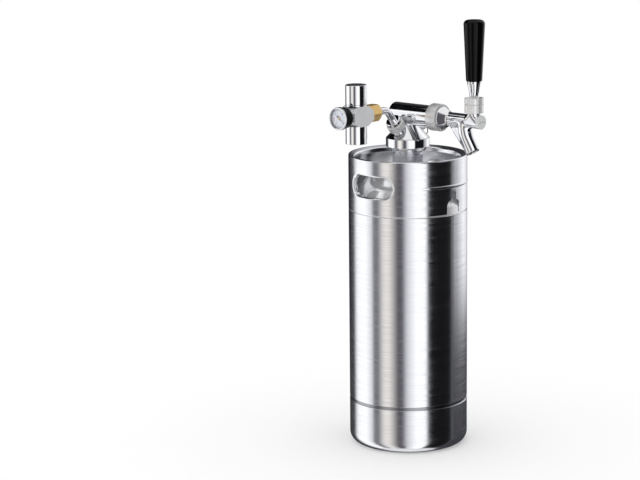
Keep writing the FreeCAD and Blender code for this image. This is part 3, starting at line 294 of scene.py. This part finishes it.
# ---------------------------------------------------------------- shapes
def turned(corners: Sequence[Sequence[float]], steps: int = TURN_STEPS) -> bmesh.types.BMesh:
    """Turns an outline about the Z axis.

    Args:
        corners: (radius, height[, rounding]) in millimetres. The outline closes on itself unless both
            of its ends lie on the axis.
        steps: how many faces go round.

    Returns:
        The closed shape in metres.
    """
    shape = bmesh.new()
    points = [shape.verts.new((corner[0] * MM, 0, corner[1] * MM)) for corner in corners]
    ring = list(zip(points, points[1:]))
    if corners[0][0] > 0 or corners[-1][0] > 0:
        ring.append((points[-1], points[0]))
    for pair in ring:
        shape.edges.new(pair)
    for point, corner in zip(points, corners):
        if len(corner) > 2:
            bmesh.ops.bevel(shape, geom=[point], offset=corner[2] * MM, offset_type="OFFSET",
                            segments=ROUND_STEPS, profile=ROUND_PROFILE, affect="VERTICES", material=-1)
    bmesh.ops.spin(shape, geom=shape.verts[:] + shape.edges[:], cent=(0, 0, 0), axis=(0, 0, 1),
                   angle=math.tau, steps=steps, use_merge=True, use_duplicate=False)
    bmesh.ops.remove_doubles(shape, verts=shape.verts, dist=SEAM_REACH)
    bmesh.ops.recalc_face_normals(shape, faces=shape.faces)
    return shape


def add_bar(shape: bmesh.types.BMesh, outline: Sequence[Sequence[float]], start: float, sweep: float,
            climb: float = 0.0) -> None:
    """Adds a bar that runs round the Z axis: a tick, a band or a thread's ridge.

    Args:
        shape: the mesh it goes into.
        outline: (radius, height) corners of its section in millimetres.
        start: azimuth of its first end in degrees.
        sweep: how far it runs, in degrees anticlockwise.
        climb: how far it climbs in all, in millimetres.
    """
    corners = [shape.verts.new((radius * MM, 0, height * MM)) for radius, height in outline]
    face = shape.faces.new(corners)
    bmesh.ops.rotate(shape, verts=corners, cent=(0, 0, 0),
                     matrix=Matrix.Rotation(math.radians(start), 3, "Z"))
    steps = max(1, math.ceil(abs(sweep) / BAR_TURN))
    bmesh.ops.spin(shape, geom=[face, *face.edges, *face.verts], cent=(0, 0, 0), axis=(0, 0, 1),
                   dvec=(0, 0, climb * MM / steps), angle=math.radians(sweep), steps=steps)
    bmesh.ops.recalc_face_normals(shape, faces=shape.faces)


def merged_copy(node: str) -> bmesh.types.BMesh:
    """Returns a welded copy of a CAD node's mesh."""
    shape = bmesh.new()
    shape.from_mesh(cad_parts[node].data)
    bmesh.ops.remove_doubles(shape, verts=shape.verts, dist=COPY_REACH)
    return shape


def finished(name: str, shape: bmesh.types.BMesh, finish: Finish, body: str, node: str,
             place: Matrix | None = None, hides: bool = True) -> bpy.types.Object:
    """Makes a piece from a shape.

    Args:
        name: the piece's name.
        shape: its mesh, which is freed.
        finish: its finish.
        body: the CAD body that it moves with.
        node: the CAD node that it stands for or lies on, which is hidden when the piece stands for it.
        place: where the shape goes, if it isn't built in place.
        hides: whether the piece stands for the node.

    Returns:
        The new object.
    """
    if place is not None:
        bmesh.ops.transform(shape, matrix=place, verts=shape.verts)
    mesh = bpy.data.meshes.new(name)
    shape.to_mesh(mesh)
    shape.free()
    mesh.shade_smooth()
    mesh.set_sharp_from_angle(angle=SHARP_ANGLE)
    mesh.materials.append(finish.material())
    piece = bpy.data.objects.new(name, mesh)
    bpy.context.scene.collection.objects.link(piece)
    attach(piece, body)
    if hides:
        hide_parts(node)
    LOG.info("built %s: %d faces", name, len(mesh.polygons))
    return piece


# ---------------------------------------------------------------- keg
@dataclass
class KegMouth:
    """Threaded mouth of the keg, with its thread cut where the CAD has a plain cylinder."""

    rim: float = 328.0             # height of the keg's rim
    bore: float = 13.2
    core: float = 16.2             # radius under the thread
    crest: float = 16.95           # radius over the thread
    foot_radius: float = 20.0
    low_under: float = 14.5        # the foot's underside below the rim
    foot_height: float = 3.0
    flare_height: float = 1.5
    top_over: float = 9.0          # the mouth's lip over the rim
    chamfer: float = 0.8
    soft: float = 0.3              # rounding of the turned edges
    foot_soft: float = 0.4
    foot_fillet: float = 1.0
    flare_soft: float = 0.6
    pitch: float = 2.6
    thread_from_over: float = 3.2  # where the thread starts, over the rim
    turns: float = 1.7
    ridge_share: float = 0.42      # half the ridge's foot as a share of the pitch
    ridge_crest: float = 0.3       # half the width of its crest
    ridge_sunk: float = 0.4        # how far its foot goes into the core

    def build(self) -> None:
        """Builds the turned mouth and the ridge that winds up it."""
        low = self.rim - self.low_under
        step = low + self.foot_height
        top = self.rim + self.top_over
        start = self.rim + self.thread_from_over
        shoulder = start - self.pitch
        soft = self.soft
        shape = turned([(self.bore, low), (self.foot_radius, low, self.foot_soft),
                        (self.foot_radius, step, self.foot_fillet),
                        (self.crest, step + self.flare_height, self.flare_soft), (self.crest, shoulder, soft),
                        (self.core, shoulder + self.chamfer, soft), (self.core, top - self.chamfer, soft),
                        (self.core - self.chamfer, top, soft), (self.bore, top, self.foot_soft)])
        foot, crest, sunk = self.pitch * self.ridge_share, self.ridge_crest, self.core - self.ridge_sunk
        ridge = [(sunk, start - foot), (self.crest, start - crest), (self.crest, start + crest),
                 (sunk, start + foot)]
        add_bar(shape, ridge, 0, 360 * self.turns, self.pitch * self.turns)
        finished("keg_mouth", shape, TURNED_MOUTH, "keg", "keg_neck")


# ---------------------------------------------------------------- faucet
@dataclass
class Faucet:
    """Coupling ring and cast body of the faucet, on the tap's axis."""

    tap_height: float = 372.3
    ring_start: float = 36.3       # the ring's rear end along the tap
    ring_length: float = 13.0
    ring_radius: float = 15.0
    ring_bore: float = 11.7
    ring_lip: float = 1.8
    neck_hole: float = 10.5        # radius of the hole in the ring's front
    ring_round: float = 0.8
    groove_back: float = 2.6       # groove behind the ring's front
    groove_width: float = 0.7
    groove_depth: float = 0.35
    groove_soft: float = 0.1
    ring_steps: int = 128
    voxel: float = 0.45
    smoothings: int = 8
    smooth_share: float = 0.5      # how far each smoothing moves a corner
    # Inner corners that are melted more: x, height, reach and how many times.
    fillets: tuple[tuple[float, float, float, int], ...] = (
        (93.5, 374.5, 11.5, 45), (64.0, 366.0, 6.0, 30), (81.0, 367.0, 11.0, 30))

    def build(self) -> None:
        """Builds the ring and the body."""
        self._ring()
        self._body()

    def _along_tap(self, x: float) -> Matrix:
        """Returns the placing that lays a shape built up +Z along the tap, from x on."""
        turn = Matrix.Rotation(math.radians(90), 4, "Y")
        return Matrix.Translation((x * MM, 0, self.tap_height * MM)) @ turn

    def _ring(self) -> None:
        """Turns the coupling ring, with a fine groove near its front."""
        length, radius = self.ring_length, self.ring_radius
        groove = length - self.groove_back
        soft = self.groove_soft
        shape = turned([(self.ring_bore, 0), (radius, 0, self.ring_round),
                        (radius, groove - self.groove_width, soft),
                        (radius - self.groove_depth, groove - self.groove_width / 2, soft),
                        (radius, groove, soft), (radius, length, self.ring_round),
                        (self.neck_hole, length), (self.neck_hole, length - self.ring_lip),
                        (self.ring_bore, length - self.ring_lip)], self.ring_steps)
        finished("grooved_coupling_ring", shape, SATIN_RING_X, "coupling", "coupling_ring",
                 self._along_tap(self.ring_start))

    def _body(self) -> None:
        """Melts the body's parts into one casting with soft inner corners."""
        shape = self._voxels(merged_copy("faucet_body"))
        self._smooth(shape, shape.verts[:], self.smoothings)
        for x, height, reach, times in self.fillets:
            centre = Vector((x, 0, height)) * MM
            near = [vert for vert in shape.verts if (vert.co - centre).length < reach * MM]
            self._smooth(shape, near, times)
        finished("cast_faucet_body", shape, CHROMED_CASTING, "head", "faucet_body")

    def _smooth(self, shape: bmesh.types.BMesh, verts: list[bmesh.types.BMVert], times: int) -> None:
        """Smooths some corners of a shape that many times over."""
        for _ in range(times):
            bmesh.ops.smooth_vert(shape, verts=verts, factor=self.smooth_share, use_axis_x=True,
                                  use_axis_y=True, use_axis_z=True)

    def _voxels(self, shape: bmesh.types.BMesh) -> bmesh.types.BMesh:
        """Remeshes a shape with even faces.

        Args:
            shape: the shape, which is freed.

        Returns:
            The remeshed shape.
        """
        mesh = bpy.data.meshes.new("voxels")
        shape.to_mesh(mesh)
        shape.free()
        holder = bpy.data.objects.new("voxels", mesh)
        bpy.context.scene.collection.objects.link(holder)
        remesh = holder.modifiers.new("remesh", "REMESH")
        remesh.mode = "VOXEL"
        remesh.voxel_size = self.voxel * MM
        depsgraph = bpy.context.evaluated_depsgraph_get()
        made = bmesh.new()
        made.from_mesh(holder.evaluated_get(depsgraph).to_mesh())
        bpy.data.objects.remove(holder)
        bpy.data.meshes.remove(mesh)
        return made


@dataclass
class TapHandle:
    """Black grip on the lever, with a domed crown and a small rounding at its foot."""

    axis_x: float = 93.5
    rim: float = 328.0             # height of the keg's rim
    low_over: float = 88.6         # the grip's foot over the rim
    high_over: float = 154.8       # the grip's top over the rim
    stud_over: float = 108.0       # the top of the stud's hole over the rim
    stud_radius: float = 3.0
    low_radius: float = 8.8
    high_radius: float = 11.8
    foot_soft: float = 0.7
    shoulder: float = 4.0          # rounding at the top
    crown: float = 0.9             # how far the crown stands over its edge
    crown_turn: float = 0.5        # where the crown flattens, as a share of the radius
    crown_turn_drop: float = 0.25  # how far under the top that is, as a share of the crown
    crown_soft: float = 3.0
    steps: int = 128

    def build(self) -> None:
        """Turns the grip."""
        low, high = self.low_over, self.high_over
        turn = (self.high_radius * self.crown_turn, high - self.crown * self.crown_turn_drop, self.crown_soft)
        shape = turned([(0, self.stud_over), (self.stud_radius, self.stud_over), (self.stud_radius, low),
                        (self.low_radius, low, self.foot_soft),
                        (self.high_radius, high - self.crown, self.shoulder), turn, (0, high)], self.steps)
        finished("moulded_grip", shape, BLACK_PHENOLIC, "lever", "handle_grip",
                 Matrix.Translation((self.axis_x * MM, 0, self.rim * MM)))


# ---------------------------------------------------------------- gauge
@dataclass
class PressureGauge:
    """Bezel, print on the dial and the hub's cap. Built facing +Z, with the bezel's front at height 0."""

    face_y: float = -116.45
    axis_height: float = 380.2
    dial: float = -3.0             # the dial's face behind the bezel's front
    print_height: float = 0.04
    zero_angle: float = -38.0      # where zero stands, anticlockwise from the right
    upright_zero: float = -135.0   # where it would stand on a gauge held upright
    scale_sweep: float = 270.0
    full_scale: int = 60
    number_step: int = 20
    tick_step: int = 2
    long_tick_step: int = 10
    tick_outer: float = 10.0
    tick_inner: float = 9.0
    long_tick_inner: float = 8.3
    tick_width: float = 1.2        # in degrees
    long_tick_width: float = 2.4   # in degrees
    number_radius: float = 6.4
    number_size: float = 2.6
    ring_line: float = 0.15
    red_zone: tuple[float, float] = (26, 33)  # as readings
    red_width: float = 0.9
    text_steps: int = 3
    hub_radius: float = 1.9
    hub_over: float = 0.31         # hub cap's foot over the dial
    hub_edge: float = 0.4
    hub_height: float = 0.8
    hub_soft: float = 0.1
    hub_round: float = 0.25
    hub_steps: int = 48
    bezel_radius: float = 12.4
    bezel_round: float = 1.0
    bezel_length: float = 4.6
    case_radius: float = 11.5
    window_radius: float = 10.6
    window_drop: float = 0.5
    glass_radius: float = 11.1
    glass_front: float = -0.8
    glass_back: float = -1.8
    bright_length: float = 1.4     # how far back the bright ring reaches
    bezel_steps: int = 128

    def build(self) -> None:
        """Builds the bezel, the scale, its numbers, the red zone and the hub's cap."""
        self._bezel()
        self._scale()
        self._numbers()
        self._red_zone()
        self._hub()

    def _place(self) -> Matrix:
        """Returns the placing that turns the gauge to face -Y."""
        turn = Matrix(((1, 0, 0), (0, 0, -1), (0, 1, 0))).to_4x4()
        return Matrix.Translation((0, self.face_y * MM, self.axis_height * MM)) @ turn

    def _angle(self, pressure: float) -> float:
        """Returns the angle of a reading, in degrees anticlockwise from the right."""
        return self.zero_angle - self.scale_sweep * pressure / self.full_scale

    def _section(self, inner: float, outer: float) -> list[tuple[float, float]]:
        """Returns the section of a printed line between two radii."""
        low, high = self.dial, self.dial + self.print_height
        return [(inner, low), (outer, low), (outer, high), (inner, high)]

    def _bezel(self) -> None:
        """Turns the bezel: a bright ring round the window, on an enamelled ring that grips the case."""
        radius, bore, step = self.bezel_radius, self.window_radius, -self.bright_length
        front = turned([(bore, self.glass_front), (bore, -self.window_drop), (radius, 0, self.bezel_round),
                        (radius, step), (self.glass_radius, step), (self.glass_radius, self.glass_front)],
                       self.bezel_steps)
        finished("bright_window_ring", front, BEZEL_STEEL, "head", "gauge_bezel", self._place(), hides=False)
        back = turned([(self.glass_radius, step), (radius, step), (radius, -self.bezel_length),
                       (self.case_radius, -self.bezel_length), (self.case_radius, self.dial),
                       (bore, self.dial), (bore, self.glass_back), (self.glass_radius, self.glass_back)],
                      self.bezel_steps)
        finished("enamelled_bezel", back, BLACK_ENAMEL, "head", "gauge_bezel", self._place())

    def _scale(self) -> None:
        """Prints the ticks and the line round them."""
        shape = bmesh.new()
        for pressure in range(0, self.full_scale + 1, self.tick_step):
            is_long = pressure % self.long_tick_step == 0
            width = self.long_tick_width if is_long else self.tick_width
            inner = self.long_tick_inner if is_long else self.tick_inner
            add_bar(shape, self._section(inner, self.tick_outer), self._angle(pressure) - width / 2, width)
        line = self._section(self.tick_outer - self.ring_line, self.tick_outer)
        add_bar(shape, line, self._angle(self.full_scale), self.scale_sweep)
        finished("dial_scale", shape, BLACK_INK, "head", "gauge_dial", self._place(), hides=False)

    def _numbers(self) -> None:
        """Prints the numbers, which lean with the gauge."""
        turn = Matrix.Rotation(math.radians(self.zero_angle - self.upright_zero), 4, "Z")
        shape = bmesh.new()
        for pressure in range(0, self.full_scale + 1, self.number_step):
            text = bpy.data.curves.new("number", "FONT")
            text.body = str(pressure)
            text.size = self.number_size * MM
            text.align_x = text.align_y = "CENTER"
            text.extrude = self.print_height * MM / 2
            text.resolution_u = self.text_steps
            holder = bpy.data.objects.new("number", text)
            bpy.context.scene.collection.objects.link(holder)
            angle = math.radians(self._angle(pressure))
            at = Vector((math.cos(angle), math.sin(angle), 0)) * self.number_radius
            at.z = self.dial + self.print_height / 2
            mesh = holder.evaluated_get(bpy.context.evaluated_depsgraph_get()).to_mesh()
            mesh.transform(Matrix.Translation(at * MM) @ turn)
            shape.from_mesh(mesh)
            bpy.data.objects.remove(holder)
            bpy.data.curves.remove(text)
        finished("dial_numbers", shape, BLACK_INK, "head", "gauge_dial", self._place(), hides=False)

    def _red_zone(self) -> None:
        """Prints the red band inside the ticks."""
        first, last = (self._angle(pressure) for pressure in self.red_zone)
        shape = bmesh.new()
        band = self._section(self.long_tick_inner - self.red_width, self.long_tick_inner)
        add_bar(shape, band, last, first - last)
        finished("dial_red_zone", shape, RED_INK, "head", "gauge_dial", self._place(), hides=False)

    def _hub(self) -> None:
        """Turns the brass cap over the needle's hub."""
        low = self.dial + self.hub_over
        radius = self.hub_radius
        shape = turned([(0, low), (radius, low, self.hub_soft), (radius, low + self.hub_edge, self.hub_round),
                        (0, low + self.hub_height)], self.hub_steps)
        finished("needle_hub", shape, TURNED_BRASS, "needle", "gauge_needle", self._place(), hides=False)


# ---------------------------------------------------------------- studio
@dataclass
class Studio:
    """White room with a ring of boards and soft boxes, a floor and the camera.

    The ring hangs round the object and shows only in what shines. Its stops are azimuths in degrees
    anticlockwise from +X and the level seen there; a level of FFFFFF is a soft box.
    """

    frame_width: int = 640         # pixels across the frame
    focal_pixels: float = 2470.0   # focal length in those pixels
    camera_place: tuple[float, float, float] = (1.7386, -2.0720, 0.7740)  # in metres
    heading: float = 42.08
    dip: float = 11.36
    roll: float = -0.56
    sensor_width: float = 36.0
    ring_distance: float = 2.2     # in metres
    ring_reach: float = 62.0       # how high and how low the ring goes, in degrees from the horizon
    ring_strength: float = 1.42
    strip_steps: int = 16
    strip_turn: float = 5.0        # from one row of a strip to the next
    floor_radius: float = 0.9      # in metres
    floor_steps: int = 64
    floor_roughness: float = 0.9
    floor_lift: float = 0.1        # how much the paper glows by itself, to run into the white room
    ring_stops: tuple[tuple[float, str], ...] = (
        (-180, "545458"), (-166, "F4F4F4"), (-140, "FFFFFF"), (-124, "D0D0D2"), (-120, "6A6A6E"),
        (-110, "6A6A6E"), (-98, "DCD8D4"), (-88, "E2DED8"), (-70, "504E52"), (-61, "504E54"),
        (-52, "CACACE"), (-34, "FFFFFF"), (-16, "FFFFFF"), (-10.5, "343436"), (-4, "101012"),
        (40, "151517"), (46, "8C8C8E"), (59, "B4B4B6"), (70, "D6D6D8"), (84, "F1F1F2"), (104, "D2D2D4"),
        (124, "3A3A3E"), (160, "1E1E22"), (180, "545458"))
    # Low down behind the object the ring is darker: heights in metres and azimuths between which it
    # fades, and its level there.
    shade_heights: tuple[float, float] = (-0.24, -0.42)
    shade_azimuths: tuple[float, float] = (34, 50)
    shade_level: str = "38383C"
    # A dark board overhead: its azimuths, its elevations, its level and how many metres it hangs inside
    # the ring.
    board_azimuths: tuple[float, float] = (155, 223)
    board_elevations: tuple[float, float] = (30, 58)
    board_level: str = "08080A"
    board_gap: float = 0.1

    def build(self) -> None:
        """Builds the camera, the world and everything on the stage."""
        self._camera()
        self._world()
        self._floor()
        self._ring()
        self._overhead_board()

    def _camera(self) -> None:
        """Puts the camera in front, a little above the tap."""
        data = bpy.data.cameras.new("camera")
        data.sensor_width = self.sensor_width
        data.lens = data.sensor_width * self.focal_pixels / self.frame_width
        camera = bpy.data.objects.new("camera", data)
        bpy.context.scene.collection.objects.link(camera)
        turn = (Matrix.Rotation(math.radians(self.heading), 4, "Z")
                @ Matrix.Rotation(math.radians(90 - self.dip), 4, "X")
                @ Matrix.Rotation(math.radians(self.roll), 4, "Z"))
        camera.matrix_world = Matrix.Translation(self.camera_place) @ turn
        bpy.context.scene.camera = camera
        bpy.context.scene.view_settings.view_transform = "Standard"

    def _world(self) -> None:
        """Makes the plain white surroundings."""
        world = bpy.data.worlds.new("white_room")
        world.use_nodes = True
        world.node_tree.nodes["Background"].inputs["Color"].default_value = srgb("FFFFFF")
        bpy.context.scene.world = world

    def _floor(self) -> None:
        """Makes the round floor sheet that takes the object's shadow."""
        shape = bmesh.new()
        bmesh.ops.create_circle(shape, cap_ends=True, segments=self.floor_steps, radius=self.floor_radius)
        floor = stage_object("floor", shape)
        material = bpy.data.materials.new("white_paper_floor")
        material.use_nodes = True
        tree = material.node_tree
        path = add_node(tree, "ShaderNodeLightPath")
        seen = add_node(tree, "ShaderNodeMath", {"operation": "MAXIMUM"},
                        {0: path.outputs["Is Camera Ray"], 1: path.outputs["Is Transmission Ray"]})
        lift = add_node(tree, "ShaderNodeMath", {"operation": "MULTIPLY", 1: self.floor_lift},
                        {0: seen.outputs[0]})
        shader = tree.nodes["Principled BSDF"]
        shader.inputs["Base Color"].default_value = srgb("F6F6F6")
        shader.inputs["Roughness"].default_value = self.floor_roughness
        shader.inputs["Specular IOR Level"].default_value = 0.0
        shader.inputs["Emission Color"].default_value = srgb("FFFFFF")
        tree.links.new(lift.outputs[0], shader.inputs["Emission Strength"])
        floor.data.materials.append(material)
        floor.visible_glossy = False

    def _sphere_strip(self, name: str, distance: float, start: float, stop: float, low: float,
                      high: float) -> bpy.types.Object:
        """Makes a stage strip of a sphere round the object.

        Args:
            name: the strip's name.
            distance: metres from the origin.
            start: first azimuth in degrees.
            stop: last azimuth in degrees.
            low: lowest elevation in degrees.
            high: highest elevation in degrees.

        Returns:
            The strip, hidden from the camera and from matt surfaces.
        """
        shape = bmesh.new()
        edge = []
        for step in range(self.strip_steps + 1):
            rise = math.radians(low + (high - low) * step / self.strip_steps)
            edge.append(shape.verts.new((math.cos(rise) * distance, 0, math.sin(rise) * distance)))
        lines = [shape.edges.new(pair) for pair in zip(edge, edge[1:])]
        bmesh.ops.rotate(shape, verts=shape.verts, cent=(0, 0, 0),
                         matrix=Matrix.Rotation(math.radians(start), 3, "Z"))
        bmesh.ops.spin(shape, geom=edge + lines, cent=(0, 0, 0), axis=(0, 0, 1),
                       angle=math.radians(stop - start), steps=int((stop - start) / self.strip_turn))
        strip = stage_object(name, shape)
        strip.visible_camera = False
        strip.visible_diffuse = False
        strip.visible_shadow = False
        return strip

    def _glow(self, name: str) -> tuple[bpy.types.Material, bpy.types.Node]:
        """Returns a new material and its emission node."""
        material = bpy.data.materials.new(name)
        material.use_nodes = True
        tree = material.node_tree
        tree.nodes.remove(tree.nodes["Principled BSDF"])
        glow = add_node(tree, "ShaderNodeEmission", {"Strength": self.ring_strength})
        tree.links.new(glow.outputs[0], tree.nodes["Material Output"].inputs["Surface"])
        return material, glow

    def _ring(self) -> None:
        """Hangs the ring, whose colour follows the azimuth, and behind the object the height too."""
        ring = self._sphere_strip("studio_ring", self.ring_distance, -180, 180, -self.ring_reach,
                                  self.ring_reach)
        material, glow = self._glow("studio_ring")
        tree = material.node_tree
        place = add_node(tree, "ShaderNodeTexCoord").outputs["Object"]
        part = add_node(tree, "ShaderNodeSeparateXYZ", None, {0: place})
        angle = add_node(tree, "ShaderNodeMath", {"operation": "ARCTAN2"},
                         {0: part.outputs["Y"], 1: part.outputs["X"]}).outputs[0]
        share = add_node(tree, "ShaderNodeMapRange", {"From Min": -math.pi, "From Max": math.pi},
                         {"Value": angle}).outputs["Result"]
        ramp = add_node(tree, "ShaderNodeValToRGB", None, {"Fac": share})
        while len(ramp.color_ramp.elements) < len(self.ring_stops):
            ramp.color_ramp.elements.new(0.5)
        for element, (azimuth, level) in zip(ramp.color_ramp.elements, self.ring_stops):
            element.position = (azimuth + 180) / 360
            element.color = srgb(level)
        low = self._fade(tree, part.outputs["Z"], *self.shade_heights)
        behind = self._fade(tree, angle, *(math.radians(azimuth) for azimuth in self.shade_azimuths))
        both = add_node(tree, "ShaderNodeMath", {"operation": "MULTIPLY"}, {0: low, 1: behind})
        shade = add_node(tree, "ShaderNodeMix", {"data_type": "RGBA"},
                         {"Factor": both.outputs[0], MIX_FIRST: ramp.outputs["Color"]})
        shade.inputs[MIX_SECOND].default_value = srgb(self.shade_level)
        tree.links.new(shade.outputs[MIX_OUT], glow.inputs["Color"])
        ring.data.materials.append(material)

    def _fade(self, tree: bpy.types.NodeTree, value: bpy.types.NodeSocket, start: float,
              stop: float) -> bpy.types.NodeSocket:
        """Returns a share that rises smoothly from 0 to 1 while the value goes from start to stop."""
        return add_node(tree, "ShaderNodeMapRange", {"interpolation_type": "SMOOTHSTEP", "From Min": start,
                                                     "From Max": stop}, {"Value": value}).outputs[0]

    def _overhead_board(self) -> None:
        """Hangs the dark board overhead."""
        distance = self.ring_distance - self.board_gap
        board = self._sphere_strip("overhead_board", distance, *self.board_azimuths, *self.board_elevations)
        material, glow = self._glow("overhead_board")
        glow.inputs["Color"].default_value = srgb(self.board_level)
        board.data.materials.append(material)


def stage_object(name: str, shape: bmesh.types.BMesh) -> bpy.types.Object:
    """Makes a stage object from a shape in metres.

    Args:
        name: the object's name.
        shape: its mesh, which is freed.

    Returns:
        The object.
    """
    mesh = bpy.data.meshes.new(name)
    shape.to_mesh(mesh)
    shape.free()
    made = bpy.data.objects.new(name, mesh)
    bpy.context.scene.collection.objects.link(made)
    return made


# ---------------------------------------------------------------- all of it
def main() -> None:
    """Builds the scene in order."""
    logging.basicConfig(level=logging.INFO, format="%(message)s")
    dress_nodes()
    for assembly in (KegMouth(), Faucet(), TapHandle(), PressureGauge(), Studio()):
        LOG.info("building %s", type(assembly).__name__)
        assembly.build()


if __name__ == "__main__":
    main()
